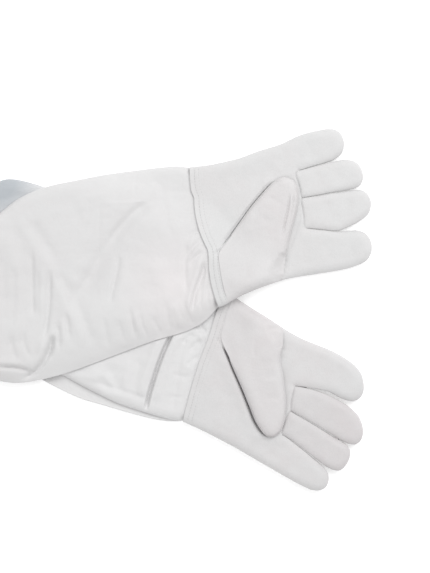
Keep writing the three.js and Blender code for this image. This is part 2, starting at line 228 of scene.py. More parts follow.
RIGHT = dict(
    name="right", wrist=(0, 61.2), heading=11.6, side=1, knuckle=((107, 0), 0.5),
    cuff=pairs(0, -75.5, -1.9, -64, -2.8, -47.7, -1.9, -33, 0.3, -20.4, 0.6, -14, -1.6, -5, -3.6, 6,
               -4.5, 22.4, -3.6, 35, -2.4, 43, -3.7, 50, -2.8, 61.7, -0.6, 75.3),
    thumb_side=pairs(0, -75.5, 6.7, -74.2, 20.6, -69.6, 40.7, -65.2, 71.7, -60.9, 90, -61, 105.3, -61.8),
    little_side=pairs(-0.6, 75.3, 21, 73.4, 32, 73.4, 53, 74.2, 73, 77.2, 98, 79.8, 107, 81.9),
    seam_middle=pairs(107.2, -12.6, 105.6, -11.2, 105.3, -8, 106.1, -1.5, 106.6, 10.3, 107.2, 16.4,
                      108.6, 19.6),
    seam_ring=pairs(108.6, 19.6, 108.0, 22.5, 108.2, 28, 107.6, 36.8, 107.0, 43, 107.9, 46.9, 111.5, 48.6),
    fingers=dict(
        index=(pairs(105.3, -61.8, 121.7, -62.6, 143, -62.6, 155, -61),
               pairs(155, -61, 162.5, -58.3, 168.6, -51.5, 170.9, -43, 169.2, -34, 164, -27.7, 157, -24.6),
               pairs(107.2, -12.6, 114, -14.9, 120, -16.9, 138.6, -22.7, 148, -23.8, 157, -24.6)),
        middle=(pairs(107.2, -12.6, 114, -14.5, 120, -16.3, 138.6, -21.7, 146.4, -20.8, 160, -17.6, 167, -15),
                pairs(167, -15, 174, -10.8, 178.2, -3.5, 179, 4, 176.5, 11.4, 171, 15.8, 165, 16.9),
                pairs(108.6, 19.6, 116, 19.2, 125, 18.5, 138.4, 18.2, 156, 17.3, 165, 16.9)),
        ring=(pairs(108.6, 19.6, 116, 19.5, 125, 19.2, 138.4, 19.1, 155, 18.3, 164, 18.2),
              pairs(164, 18.2, 171, 20.2, 175.7, 26, 176.7, 33, 175, 41, 170.5, 46.6, 164, 49.4),
              pairs(111.5, 48.6, 119, 49.0, 135, 49.9, 148.3, 50.6, 158, 50.6, 164, 49.4)),
        little=(pairs(111.5, 48.6, 119, 49.4, 134, 50.7, 148.4, 52, 153, 53.5),
                pairs(153, 53.5, 158.8, 56.7, 162.8, 63, 164, 71, 161.8, 79, 156.5, 83.7, 149, 85.8),
                pairs(107, 81.9, 119.8, 84.9, 136, 86, 149, 85.8)),
    ),
    thumb_base=pairs(10.5, -73, 20.6, -69.6, 40.7, -65.2, 71.7, -60.9),
    thumb_wrist=pairs(10.5, -73, 9.2, -60, 8.9, -45, 9.6, -32, 10.6, -22, 12.8, -17.9),
    thumb_crease=pairs(12.8, -17.9, 26, -6.4, 39.3, 5.9, 52.5, 18.2, 65.3, 28.6, 77.9, 37.8, 85.4, 42.2),
    thumb_tip=pairs(85.4, 42.2, 91.2, 44.2, 97.3, 43.2, 102.2, 39.2, 104.4, 34, 104.9, 28.5),
    thumb_seam=pairs(71.7, -60.9, 73.8, -53, 76.2, -46, 78.6, -39),
    thumb_right=pairs(78.6, -39, 81, -32, 84, -24.5, 89, -12.9, 94.8, -1.2, 100.7, 11.6, 103.8, 21,
                      104.9, 28.5),
    sleeve_thumb=pairs(1.5, -73.7, -4, -77.2, -16, -85.6, -35, -92.3, -78, -96.5, -134, -105.5, -180, -111.5,
                       -222, -111, -245, -103, -262, -90),
    sleeve_little=pairs(1.5, 73.6, -4, 76.4, -14, 79.3, -31, 81.4, -52, 83.1, -94, 85.3, -120, 85, -151, 84.6,
                        -182, 79, -205, 68, -235, 53, -262, 45),
)
RIGHT["sleeve_top_edge"] = RIGHT["sleeve_little"]
GLOVES = (LEFT, RIGHT)
FINGERS = ("index", "middle", "ring", "little")

# How far the lower glove reaches towards its thumb side.
LOWER_REACH = np.array(pairs(-270, 98, -255, 111, -222, 115.5, -180, 112, -134, 106, -78, 97, -35, 91,
                             0, 72, 15, 65, 54, 55.4, 90, 46.5, 123.6, 43.5))

for glove in GLOVES:
    for key, value in glove.items():
        if isinstance(value, list):
            glove[key] = spline(value)
    glove["fingers"] = {k: tuple(spline(line) for line in lines) for k, lines in glove["fingers"].items()}
    glove["outline"] = {k: join(a, tip, b[::-1]) for k, (a, tip, b) in glove["fingers"].items()}


def to_table(glove, uv):
    a = math.radians(glove["heading"])
    w = uv[:, 1] * glove["side"]
    x = glove["wrist"][0] + uv[:, 0] * math.cos(a) - w * math.sin(a)
    y = glove["wrist"][1] + uv[:, 0] * math.sin(a) + w * math.cos(a)
    return np.stack([x, y], 1)


def from_table(glove, xy):
    a = math.radians(glove["heading"])
    d = xy - np.array(glove["wrist"], float)
    u = d[:, 0] * math.cos(a) + d[:, 1] * math.sin(a)
    v = (d[:, 1] * math.cos(a) - d[:, 0] * math.sin(a)) * glove["side"]
    return np.stack([u, v], 1)


def ride_height(glove, uv):
    """Height of the upper glove above the table, and how far in it lies over the lower one."""
    if glove is LEFT:
        return np.zeros(len(uv)), np.zeros(len(uv))
    low = from_table(LEFT, to_table(RIGHT, uv))
    beyond = -low[:, 1] - np.interp(low[:, 0], LOWER_REACH[:, 0], LOWER_REACH[:, 1])
    over = 1 - smooth((beyond - FALL_START) / FALL_LONG)
    resting = smooth((-4 - low[:, 0]) / 22) * smooth((-beyond - 2) / 20)
    return LIFT * over, resting


def lower_top(uv):
    """How high the lower glove's sleeve reaches, 0 beside it."""
    u, v = uv[:, 0], uv[:, 1]
    top = sleeve_top(LEFT, uv, None)[0] + 0.3 + 0.6 * smooth((-u - 238) / 32)
    little = LEFT["sleeve_top_edge"]
    past_little = v > np.interp(-u, -little[:, 0], little[:, 1])
    past_thumb = -v > np.interp(u, LOWER_REACH[:, 0], LOWER_REACH[:, 1])
    return np.where(past_little | past_thumb, 0.0, top)


def settling(uv, up, resting):
    """How far the underside of the upper glove comes down, at most until it lies on the lower one."""
    down = SAG * resting
    m = resting > 0
    if m.any():
        low = from_table(LEFT, to_table(RIGHT, uv[m]))
        room = up[m] + sleeve_back(RIGHT, uv[m], None) - lower_top(low) - CLEAR
        down[m] = np.minimum(down[m], room)
    return down


def place(glove, uv, z, under=0.0):
    """Glove coordinates to the table. under is 1 for the layer that rests on the lower glove."""
    up, resting = ride_height(glove, uv)
    if np.any(under):
        z = z - under * settling(uv, up, resting)
    return np.column_stack([to_table(glove, uv) - PAIR_CENTRE, z + up])


def knuckle_frame(glove):
    """A point on the hinge line of the fingers, the direction across the line and the one along it."""
    origin, turn = glove["knuckle"]
    c, s = math.cos(math.radians(turn)), math.sin(math.radians(turn))
    return np.array(origin, float), np.array([c, s]), np.array([-s, c])


# ---- Heights ----------------------------------------------------------------------------
# An edge is (line, height at the edge, width of the rounding, shape). The height and the width
# may change along the line: then each is a list of (share of the line, value).


def close_to(line, points, reach):
    """Which points lie in the box round a line, grown by reach."""
    low, high = line.min(0) - reach, line.max(0) + reach
    return ((points > low) & (points < high)).all(1)


def varying(value, share):
    return np.interp(share, *zip(*value)) if isinstance(value, list) else value


def edge_drops(uv, crown, edges):
    """How far a sheet comes down towards each of its edges."""
    total = np.zeros(len(uv))
    deepest = np.zeros(len(uv))
    crown = np.broadcast_to(np.asarray(crown, float), (len(uv),))
    for line, z, width, shape in edges:
        m = close_to(line, uv, max(w for _, w in width) if isinstance(width, list) else width)
        if not m.any():
            continue
        d, share, _ = nearest(line, uv[m])
        deep = crown[m] - varying(z, share)
        x = np.clip(d / varying(width, share), 0, 1)
        if shape == "round":
            fall = 1 - np.sqrt(np.maximum(1 - (1 - x) ** 2, 0))
        elif shape == "soft":
            fall = 1 - smooth(x)
        else:
            fall = (1 - x) ** 2
        total[m] += np.sign(deep) * (np.abs(deep) * fall) ** 4
        deepest[m] = np.maximum(deepest[m], np.where(x < 1, np.abs(deep), 0))
    return np.sign(total) * np.minimum(np.abs(total) ** 0.25, deepest)


def creases(uv, marks, strength=1.0):
    """Ridges and valleys along lines: (points, height, width to the left, width to the right).

    Two more values may follow: the power of the profile (1 a sharp crease, 2 round, 3 a slot) and the
    length over which it dies out at its ends."""
    z = np.zeros(len(uv))
    for points, high, left, right, *more in marks:
        power = more[0] if more else 2
        line = spline(points, 6)
        m = close_to(line, uv, max(left, right) * (5 if power == 1 else 2.6))
        if not m.any():
            continue
        d, share, side = nearest(line, uv[m])
        x = d / np.where(side > 0, left, right)
        ends = min(0.48, more[1] / length_of(line)) if len(more) > 1 else min(0.3, FADE / length_of(line))
        fade = smooth(share / ends) * smooth((1 - share) / ends)
        z[m] += high * strength * fade * np.exp(-x ** power)
    return z


def outline_edge(glove, key, layer):
    """A finger's outline: full fall outside and at the tip, less where a fourchette stands."""
    la, lt, lb = (length_of(line) for line in glove["fingers"][key])
    total = la + lt + lb
    seam = MID + SEAM_GAP * layer
    strip = MID + STRIP_HALF * layer
    za = seam if key == "index" else strip
    zb = seam if key == "little" else strip
    heights = [(0, za), (la * 0.55 / total, za), (la * 0.95 / total, seam),
               ((la + lt) / total + lb * 0.05 / total, seam), ((la + lt + lb * 0.45) / total, zb), (1, zb)]
    return glove["outline"][key], heights, 7.5 if za == zb else 9.0, "round"


def hand_edges(glove, key, layer):
    """Edges that shape the palm, the back or a finger; layer is 1 for the palm side, -1 for the back."""
    seam = MID + SEAM_GAP * layer
    sides = {"index": (glove["thumb_side"], seam, 9.0, "round"),
             "little": (glove["little_side"], seam, 9.0, "round")}
    outline = {k: outline_edge(glove, k, layer) for k in FINGERS}
    grooves = [(glove[line], HAND_DEEP - 1.5, 2.4, "groove") for line in ("seam_middle", "seam_ring")]
    if key == "back":
        return [*sides.values(), *outline.values()]
    if key == "palm":
        return [*sides.values(), outline["index"], outline["little"], *grooves]
    edges = [sides[key], outline[key]] if key in sides else [outline[key]]
    if layer > 0:
        edges.append(grooves[0 if key in ("index", "middle") else 1])
    return edges


# Marks pressed and folded into the leather, as creases() takes them. The first of a hand is its
# thumb crease, and the mesh is finer near it.
HAND_MARKS = {
    "left": [
        (pairs(13, -15.8, 22.5, -6.5, 34, 7, 48, 22.8, 60, 37.4, 70.5, 50.6, 79.0, 58.0, 86.5, 61.8,
               92, 62.6), -5.2, 0.95, 1.3),
        (pairs(16, -8, 30, 9, 45, 26, 57, 41, 68, 55, 78, 64, 90, 68.5), 1.7, 7.5, 2.6),
        (pairs(4, -22, 9, -18, 13, -12, 14, -4), -1.1, 1.5, 1.7),
        (pairs(24, 30, 48, 40, 70, 62, 80, 78), -0.7, 9, 9),
        (pairs(20, 60, 50, 66, 80, 80), 0.6, 8, 12),
        (pairs(88, 70, 96, 77, 100, 86), -0.7, 5, 6),
        (pairs(96, -40, 99, -22, 101, -6), -0.6, 5, 7),
        (pairs(71, -49, 75.8, -33.6, 77.5, -24), -1.5, 1.3, 1.2),
        (pairs(118, -40, 121, -24, 122, -6), -0.5, 4, 5),
        (pairs(138, -36, 141, -20, 141, -6), -0.45, 4, 4),
        (pairs(110, 60, 106, 74, 101, 88), -0.6, 4, 6),
        (pairs(130, 70, 126, 82, 122, 94), -0.5, 4, 5),
    ],
    "right": [
        (pairs(13.5, -15.5, 26.5, -4.2, 39.8, 8.0, 53, 20.2, 65.8, 30.6, 78, 39.6, 86, 43.6), -2.4, 0.5, 0.8),
        (pairs(3, -21, 9, -19, 16, -15), -1.2, 1.5, 1.5),
        (pairs(14, -9, 28, 3, 43, 17, 58, 29.5, 72, 40.5, 84, 48), 1.6, 6, 2.2),
        (pairs(18, 45, 45, 50, 70, 52, 92, 60), -0.7, 10, 8),
        (pairs(20, 20, 44, 30, 64, 44, 86, 52), 0.5, 9, 8),
        (pairs(88, 58, 97, 66, 101, 76), -0.7, 5, 5),
        (pairs(98, -56, 100, -38, 101, -20), -0.6, 5, 6),
        (pairs(107, 24, 103, 2, 91, -20, 82, -36), -0.8, 1.2, 1.2),
        (pairs(70.5, -66, 72.4, -60, 74.6, -52.5, 77.2, -45, 80.4, -36, 83, -29), -1.5, 0.9, 0.9),
        (pairs(74.5, -66, 75.6, -60, 77.6, -51, 80.6, -42, 84, -33), -0.8, 0.8, 0.8),
        (pairs(122, -58, 124, -42, 124, -24), -0.5, 4, 5),
        (pairs(146, -58, 148, -42, 147, -28), -0.4, 4, 4),
        (pairs(124, 54, 127, 68, 124, 82), -0.5, 4, 5),
    ],
}
FINGER_MARKS = {
    "left": [
        (pairs(126, 6, 124, 18, 121, 30), -0.55, 4, 5),
        (pairs(150, 10, 147, 24, 143, 36), -0.5, 4, 5),
        (pairs(128, 38, 124, 48, 119, 58), -0.55, 4, 5),
        (pairs(152, 46, 147, 58, 143, 68), -0.5, 4, 5),
    ],
    "right": [
        (pairs(130, -14, 132, 2, 131, 16), -0.5, 4, 5),
        (pairs(153, -14, 155, 0, 153, 14), -0.45, 4, 5),
        (pairs(128, 23, 130, 34, 128, 46), -0.5, 4, 5),
        (pairs(150, 22, 152, 34, 150, 46), -0.45, 4, 5),
    ],
}
THUMB_MARKS = {
    "left": [
        (pairs(77, -30, 82, -14, 89, 1, 94, 16, 97, 33), -1.6, 1.1, 1.3),
        (pairs(24, -52, 34, -30, 46, -8, 60, 20), -0.8, 9, 8),
        (pairs(52, -46, 60, -28, 66, -8), 0.9, 7, 9),
        (pairs(46, -34, 48, -20, 52, -10), -0.5, 2.4, 3),
        (pairs(66, 8, 72, 2, 82, -2), -0.6, 3, 4),
        (pairs(74, 28, 82, 22, 92, 20), -0.5, 3, 4),
        (pairs(71, -47, 73, -38, 74, -32), -0.7, 1.2, 1.2),
    ],
    "right": [
        (pairs(97, 30, 93, 15, 84.5, -5, 78.5, -20), -2.3, 1.0, 1.3),
        (pairs(101.5, 29, 97, 10, 88, -13, 80.5, -30), -2.6, 0.9, 1.0),
        (pairs(68.4, -62, 69.8, -56, 71.2, -49, 73, -42, 76, -34), -1.0, 0.9, 0.9),
        (pairs(63, -45, 64.2, -41, 66, -38.5), -0.7, 1.2, 1.6),
        (pairs(26, -52, 40, -28, 52, -8, 70, 12), -0.7, 10, 9),
        (pairs(48, -54, 58, -36, 66, -16), 0.8, 8, 8),
        (pairs(60, 12, 68, 4, 78, 0), -0.5, 3, 4),
        (pairs(72, 30, 80, 22, 90, 18), -0.5, 3, 4),
    ],
}
# Folds of the canvas, top layer. The mesh is finer near the first of each sleeve.
SLEEVE_MARKS = {
    "left": [
        (pairs(-36, -38, -39.4, -8, -42, 15, -42.6, 37, -42.2, 59.5, -40.4, 78.5), -6.0, 2.1, 1.9, 3),
        (pairs(-49, -20, -51, 10, -52, 40, -50, 68), 2.2, 5, 6),
        (pairs(-32, -20, -34, 12, -35, 40, -33, 66), 1.6, 5, 4),
        (pairs(-25, -14, -22.5, 14, -17.4, 43.6, -12.8, 72), -0.9, 3, 2.4),
        (pairs(-101, 58, -90.7, 62.7, -79.5, 70), -1.5, 5, 4),
        (pairs(-98, 42, -89, 47, -78, 59, -70, 69), -1.4, 5, 6),
        (pairs(-121, 66, -84, 64, -40, 64), -0.8, 3, 2.4),
        (pairs(-26, -24, -21, -25, -14, -25.5, -7, -22, 1, -17), -2.4, 2.4, 3),
        (pairs(-25, -1, -21.5, -11, -14, -16), -1.6, 2.2, 2.6),
        (pairs(-15, 4, -11.5, -6.8, -3, -14), -1.5, 2.2, 2.4),
        (pairs(-14, 20, -9.5, 10, -2.5, 3.6), -1.2, 2.2, 2.4),
        (pairs(-13, -20, -6, -12, -3, -6), 1.4, 3, 3),
        (pairs(-5, 26, -14, 30, -26, 30), -0.8, 2.4, 3),
        (pairs(-5, 48, -14, 53, -26, 54), -0.8, 2.4, 3),
        (pairs(-66, 20, -63, 36, -62, 60), -1.0, 3, 4),
        (pairs(-76, 30, -72, 46, -70, 66), 0.9, 4, 4),
        (pairs(-112, 40, -104, 52, -98, 66), 1.0, 7, 7),
        (pairs(-180, -90, -150, -40, -128, 20, -120, 66), -1.6, 12, 10),
        (pairs(-258, -84, -245, -93, -231, -102, -216, -111), -3.4, 2.6, 3.4),
        (pairs(-262, -94, -246, -102, -230, -110), 1.2, 3, 3),
    ],
    "right": [
        # The wide slanting hollow from the top edge down to the hem, in two lengths.
        (pairs(-42, 57, -52, 46, -62, 42, -79, 31, -92, 20, -106, 5), -4.4, 8, 5, 2, 26),
        (pairs(-90, 21, -108, 3, -124, -15, -140, -31, -160, -50), -5.0, 12, 7, 2, 34),
        (pairs(-50, 46, -75, 33, -110, 8, -140, -24), -1.8, 20, 14),
        # The long ridge across it and the hollow behind.
        (pairs(-180, 40, -173, 20, -162, -8, -149, -50, -142, -90), 2.0, 7.0, 12),
        (pairs(-160, -2, -151, -28, -142, -60, -138, -90), -2.8, 6, 5),
        (pairs(-176, 58, -169, 36, -163, 21, -155, 4), -1.6, 6, 8),
        (pairs(-184, 60, -182, 44, -176, 26), 1.0, 7, 6),
        # Upright wrinkles left of the ridge.
        (pairs(-179, 24, -186.5, -13, -192.5, -48), -2.2, 2.6, 3.2),
        (pairs(-165, 1, -170, -22, -176, -45, -186, -72), -3.0, 2.8, 3.0),
        (pairs(-172, 6, -178, -20, -184, -50), 1.2, 3, 3),
        (pairs(-201, 14, -208, -25, -217, -56), -1.4, 4, 6),
        (pairs(-170, -54, -170, -69, -173, -88), -2.0, 2.4, 2.6),
        (pairs(-158, -46, -158, -61, -160, -78), -1.6, 2.4, 3),
        (pairs(-164, -50, -164, -66, -166, -84), 1.1, 2.4, 2.4),
        (pairs(-205, -57, -207, -74, -203, -89), -1.6, 3, 3),
        (pairs(-219, -60, -220, -76, -216, -90), -1.6, 3, 4),
        # Pressed creases of the folded cloth.
        (pairs(-99, 62, -106, 29, -114.5, -7), -0.7, 1.4, 1.2, 1),
        (pairs(-103, 57.6, -80, 51.8, -50, 49), 0.8, 1.3, 1.3, 1),
        (pairs(-57.8, 81.5, -63.6, 52), -0.8, 1.4, 1.5, 1),
        (pairs(-43.6, 72, -35, 62, -31, 50), -0.9, 3, 4),
        (pairs(-35.8, 58, -34.8, 32, -34, 4), -0.8, 3, 5),
        # The thin fold in the middle.
        (pairs(-90, 2, -97, -17, -112, -51), -1.9, 2.2, 2.6),
        (pairs(-84, 0, -91, -22, -104, -52), 0.8, 3, 3),
        # Folds that run from the cuff's low corner.
        (pairs(-1.5, -20, -8.9, -35.7, -20.4, -54.8, -30, -76), -3.4, 2.4, 2.2),
        (pairs(-6, -17, -14, -32, -27, -56, -36, -80), 1.8, 3.2, 3),
        (pairs(-18.6, 1, -26, -25, -31, -54), -2.0, 2.8, 3.2),
        (pairs(4, 2, -8, -4.8, -18, -12.4, -24, -20), -1.9, 1.8, 2.2),
        (pairs(3.5, 10.8, -7.7, 6.9, -22, 1.3), -1.4, 1.8, 2.4),
        (pairs(3, -14, -8, -17, -18, -23, -24, -30), -1.7, 1.8, 2.2),
        (pairs(0, -6, -9, -10.5, -19, -17.5), 1.0, 2, 2),
        (pairs(-2, -28, -10, -42, -17, -62, -20, -80), -1.4, 2.2, 2.4),
        (pairs(-3, -44, -8, -56, -11, -76), -1.2, 2.2, 2.4),
        (pairs(-5, 26, -16, 24, -30, 26), -0.9, 2.4, 3),
        (pairs(-5, 54, -16, 52, -30, 56), -0.8, 2.4, 3),
        # Short wrinkles along the low edge.
        (pairs(-91, -54, -92.5, -72, -92, -92), -1.7, 1.9, 2.3),
        (pairs(-82, -62, -82, -78, -79.5, -93), -1.3, 1.8, 2.0),
        (pairs(-86.5, -60, -87, -76, -86, -92), 1.0, 2.0, 2.0),
        (pairs(-106.5, -66, -105, -80, -105.4, -95), -1.1, 2.4, 2.8),
        (pairs(-71, -70, -67.6, -81.5, -64, -92), -1.1, 2.0, 2.4),
        (pairs(-54, -56, -54, -72.6, -55, -90), -1.2, 2.6, 3.4),
        (pairs(-36.4, -58, -32, -80, -29, -93), -1.1, 2.6, 3.0),
        (pairs(-46, -60, -44, -76, -43, -90), 1.0, 3, 3),
        (pairs(-120, -60, -121, -78, -122, -96), -1.4, 3, 3.4),
        # The hem end: the cloth turned under at the low corner.
        (pairs(-242, -89, -225.4, -93, -212.5, -98, -203, -104), -4.4, 1.9, 2.6),
        (pairs(-240, -84, -224, -88, -210, -93), 1.4, 4, 3),
        (pairs(-222, -110, -208.8, -106, -199, -100.6, -187.5, -91, -180, -80, -175, -66), -5.2, 3.0, 2.4),
        (pairs(-188, -93, -180, -81, -175, -68), -3.0, 5, 5, 2, 9),
        (pairs(-214, -100, -200, -93, -190, -80, -186, -66), 2.2, 5, 5),
        (pairs(-204, 50, -200, 10, -208, -30, -214, -70), 1.8, 9, 9),
        (pairs(-60, -10, -52, -40, -44, -62), 1.6, 12, 10),
        (pairs(-30, 60, -70, 66, -130, 62), 1.1, 10, 8),
        (pairs(-220, 30, -216, 0, -222, -30), -1.6, 7, 8),
    ],
}


def cuff_u(glove, v):
    line = glove["cuff"]
    order = np.argsort(line[:, 1])
    return np.interp(v, line[order, 1], line[order, 0])


def leather_ripple(uv, seed):
    return (0.34 * perlin(uv[:, 0] / 31, uv[:, 1] / 27, seed)
            + 0.16 * perlin(uv[:, 0] / 11, uv[:, 1] / 9, seed + 1))


def canvas_ripple(uv, seed):
    u, v = uv[:, 0], uv[:, 1]
    return (0.95 * perlin(u / 58, v / 40, seed) + 0.5 * perlin(u / 24, v / 15, seed + 1)
            + 0.16 * perlin(u / 10, v / 7, seed + 2))


def hand_top(glove, uv, edges, marks):
    u, v = uv[:, 0], uv[:, 1]
    crown = HAND_DEEP - 1 + smooth((u - 6) / 34)
    drop = edge_drops(uv, crown, edges)
    rounded = smooth(1 - drop / 3.0)
    z = crown - drop
    z += rounded * (creases(uv, marks) + leather_ripple(uv, 3 + glove["side"]))
    past_cuff = u - cuff_u(glove, v)
    for row in CUFF_ROWS:
        z -= 0.36 * np.exp(-((past_cuff - row) / 0.75) ** 2)
    z += 0.25 * smooth(1 - np.abs(past_cuff - CUFF_FULL) / 5)
    # The palm lies a little lower under the root of the thumb.
    d_crease, _, side = nearest(join(glove["thumb_wrist"], glove["thumb_crease"]), uv)
    inside = smooth(d_crease / 3.0) * (side < 0)
    z -= 1.5 * inside * smooth((34 - u) / 12) * smooth((u - 9.6) / 1.5) * (v < 0)
    return z


def hand_back(glove, uv, edges):
    """Underside of the back of the hand: it lies on the table, so it only rises."""
    rise = -edge_drops(uv, np.zeros(len(uv)), edges)
    return rise + 0.10 * (1 + leather_ripple(uv, 9 + glove["side"])) * smooth(1 - rise / 3)


def sleeve_deep(u):
    wrist = WRIST_DEEP - 0.4 - SLEEVE_DEEP
    return SLEEVE_DEEP + wrist * smooth((u + 45) / 40) + (HEM_DEEP - SLEEVE_DEEP) * smooth((-u - 190) / 80)


def pleats(glove, u, share):
    """Gathers of the hem, where the elastic draws the canvas in."""
    gather = smooth((-u - (240 if glove is LEFT else 229)) / 32)
    wander = 0.35 * np.sin(share * 21 + glove["side"])
    wave = np.sin(2 * math.pi * (PLEATS * share + wander))
    return gather * (0.95 * wave + 0.35 * np.sin(2 * math.pi * (PLEATS * 1.7 * share + 0.3)))


def sleeve_edges(glove, layer):
    thumb, gap = glove["sleeve_thumb"], SEAM_GAP * layer
    little = glove["sleeve_top_edge" if layer > 0 else "sleeve_little"]
    edges = [(thumb, SLEEVE_SEAM + gap, 12.0, "round"), (little, SLEEVE_SEAM + gap, 11.0, "round")]
    if glove is RIGHT:
        # The side that lies on the lower glove is pressed flat, like a folded sheet.
        widths = [(0, 12.0), (0.22, 44.0), (0.75, 44.0), (1, 14.0)]
        edges[0] = (thumb, PRESSED_SEAM + 0.95 * layer, widths, "ease")
    return edges


def under_upper(uv):
    """1 where the lower glove lies under the upper one, 0 beside it."""
    at = from_table(RIGHT, to_table(LEFT, uv))
    reach = np.interp(-at[:, 0], -RIGHT["sleeve_thumb"][:, 0], -RIGHT["sleeve_thumb"][:, 1])
    return smooth((at[:, 1] + reach + 5) / 9)


def sleeve_top(glove, uv, share):
    """Heights, and how far each point settles with the underside. Without shares it has no gathers."""
    u = uv[:, 0]
    deep = sleeve_deep(u)
    drop = edge_drops(uv, deep, sleeve_edges(glove, 1))
    settle = np.clip(drop / (deep - SLEEVE_SEAM), 0, 1)
    seams = [nearest(glove[key], uv)[0] for key in ("sleeve_thumb", "sleeve_top_edge")]
    soft = smooth((np.minimum(*seams) - 0.8) / 7.5)
    if glove is LEFT:
        soft = soft * (1 - 0.85 * under_upper(uv))
    folds = creases(uv, SLEEVE_MARKS[glove["name"]], FOLDS[glove["name"]])
    near_cuff = smooth((-u - 2.5) / 5)
    z = deep - drop + soft * near_cuff * (folds + canvas_ripple(uv, 13 + glove["side"]))
    if share is not None:
        z += soft * pleats(glove, u, share)
    # The canvas dips where it goes in under the edge of the leather.
    past = u - cuff_u(glove, uv[:, 1])
    z -= 1.1 * np.exp(-((past + 1.4) / 1.5) ** 2)
    return z, settle


def sleeve_back(glove, uv, share):
    """Without shares across the sleeve it leaves the gathers out."""
    u = uv[:, 0]
    rise = -edge_drops(uv, np.zeros(len(uv)), sleeve_edges(glove, -1))
    soft = smooth(1 - rise / 3.2)
    z = rise + soft * 0.35 * (1 + np.clip(canvas_ripple(uv, 23 + glove["side"]), -1, 1))
    if share is not None:
        z += soft * 0.75 * (pleats(glove, u, share) + 1.3 * smooth((-u - 200) / 62))
    return z


def thumb_top(glove, uv):
    # It leaves the hand flat at the wrist and fills out towards its root.
    z = WRIST_LOW + (THUMB_TOP - WRIST_LOW) * smooth((uv[:, 0] - 9.0) / 42.0)
    drop = edge_drops(uv, z, [
        (glove["thumb_base"], MID + SEAM_GAP, 13.0, "round"),
        (glove["thumb_crease"], [(0, 12.4), (0.16, 14.6), (0.3, THUMB_EDGE), (1, THUMB_EDGE)], 9.5, "round"),
        (glove["thumb_tip"], THUMB_EDGE, 9.0, "round"),
        (glove["thumb_seam"], [(0, 8.5), (0.25, 12.7), (1, 13.4)],
         [(0, 20.0), (0.4, 18.0), (1, 10.0)], "soft"),
        (glove["thumb_right"], [(0, 13.4), (0.2, 14.6), (0.4, THUMB_EDGE), (1, THUMB_EDGE)], 9.5, "round"),
    ])
    soft = smooth(1 - drop / 3.0)
    return z - drop + soft * (creases(uv, THUMB_MARKS[glove["name"]]) + leather_ripple(uv, 5 + glove["side"]))


def thumb_under(glove, uv):
    low = np.full(len(uv), THUMB_LOW)
    edge = THUMB_EDGE - 0.4
    rise = -edge_drops(uv, low, [
        (glove["thumb_crease"], [(0, 13.4), (0.3, edge), (1, edge)], 7.0, "round"),
        (glove["thumb_tip"], edge, 7.0, "round"),
        (glove["thumb_right"], [(0, 13.0), (0.35, edge), (1, edge)], 7.0, "round"),
    ])
    return np.clip(np.minimum(low + rise, thumb_top(glove, uv) - 2 * HIDE - 0.4), 12.4, None)


# ---- Meshes -----------------------------------------------------------------------------
FINE = (0.0, 0.25, 0.8, 1.7, 3.0, 4.6, 6.6, 9.0)     # rows near a rounded edge
PALM_STEP, FINGER_STEP, THUMB_STEP, HIDDEN_STEP = 1.6, 1.7, 1.1, 3.0
CANVAS_STEP, HIDDEN_CANVAS_STEP = 1.55, 2.4
FINGER_FULL = 0.86              # width of a finger's grid, of the mean of its base and its tip line


def spacing(length, step, fine_start=True, fine_end=True):
    """Shares from 0 to 1, close together near the ends that have a rounded edge."""
    head = [x for x in FINE if x < length * 0.45] if fine_start else [0.0]
    tail = [x for x in FINE if x < length * 0.45] if fine_end else [0.0]
    middle = length - head[-1] - tail[-1]
    n = max(int(round(middle / step)), 1)
    inner = [head[-1] + middle * k / n for k in range(1, n)]
    return np.array(head + inner + [length - x for x in reversed(tail)]) / length


def coons(c0, c1, d0, d1, s, t):
    """A grid of points between four lines: c0 and c1 across, d0 and d1 along."""
    x, y = s[None, :, None], t[:, None, None]
    a, b = along(c0, s)[None], along(c1, s)[None]
    c, d = along(d0, t)[:, None], along(d1, t)[:, None]
    flat = (1 - x) * (1 - y) * c0[0] + x * (1 - y) * c0[-1] + (1 - x) * y * c1[0] + x * y * c1[-1]
    return (1 - y) * a + y * b + (1 - x) * c + x * d - flat


def grid_normals(p):
    du = np.gradient(p, axis=0)
    dv = np.gradient(p, axis=1)
    n = np.cross(du, dv)
    return n / np.maximum(np.linalg.norm(n, axis=2, keepdims=True), 1e-9)


def quads_of(rows, cols):
    k = np.arange(rows * cols).reshape(rows, cols)
    return np.stack([k[:-1, :-1], k[1:, :-1], k[1:, 1:], k[:-1, 1:]], -1).reshape(-1, 4)


def facing_out(points, faces):
    """The four-sided faces of a closed body, turned round if they face inwards."""
    a, b, c, d = (points[faces[:, i]] for i in range(4))
    volume = (np.einsum("ij,ij->i", a, np.cross(b, c)) + np.einsum("ij,ij->i", a, np.cross(c, d))).sum()
    return faces[:, ::-1] if volume < 0 else faces


def refine(flat, faces, line, reach, cuts=2):
    """Divides the part of a flat panel that lies near a line into smaller faces.

    A third value beside u and v is shared out between the new points too."""
    near = np.zeros(len(flat), bool)
    m = close_to(line, flat[:, :2], reach)
    near[m] = nearest(line, flat[m, :2])[0] < reach
    mesh = bmesh.new()
    columns = flat.shape[1]
    spots = [mesh.verts.new((*spot, 0.0)[:3]) for spot in flat.tolist()]
    for face in faces.tolist():
        mesh.faces.new([spots[i] for i in face])
    mesh.verts.index_update()
    chosen = [e for e in mesh.edges if near[e.verts[0].index] and near[e.verts[1].index]]
    bmesh.ops.subdivide_edges(mesh, edges=chosen, cuts=cuts, use_grid_fill=True)
    mesh.verts.index_update()
    flat = np.array([spot.co[:columns] for spot in mesh.verts])
    faces = [[spot.index for spot in face.verts] for face in mesh.faces]
    mesh.free()
    return flat, faces


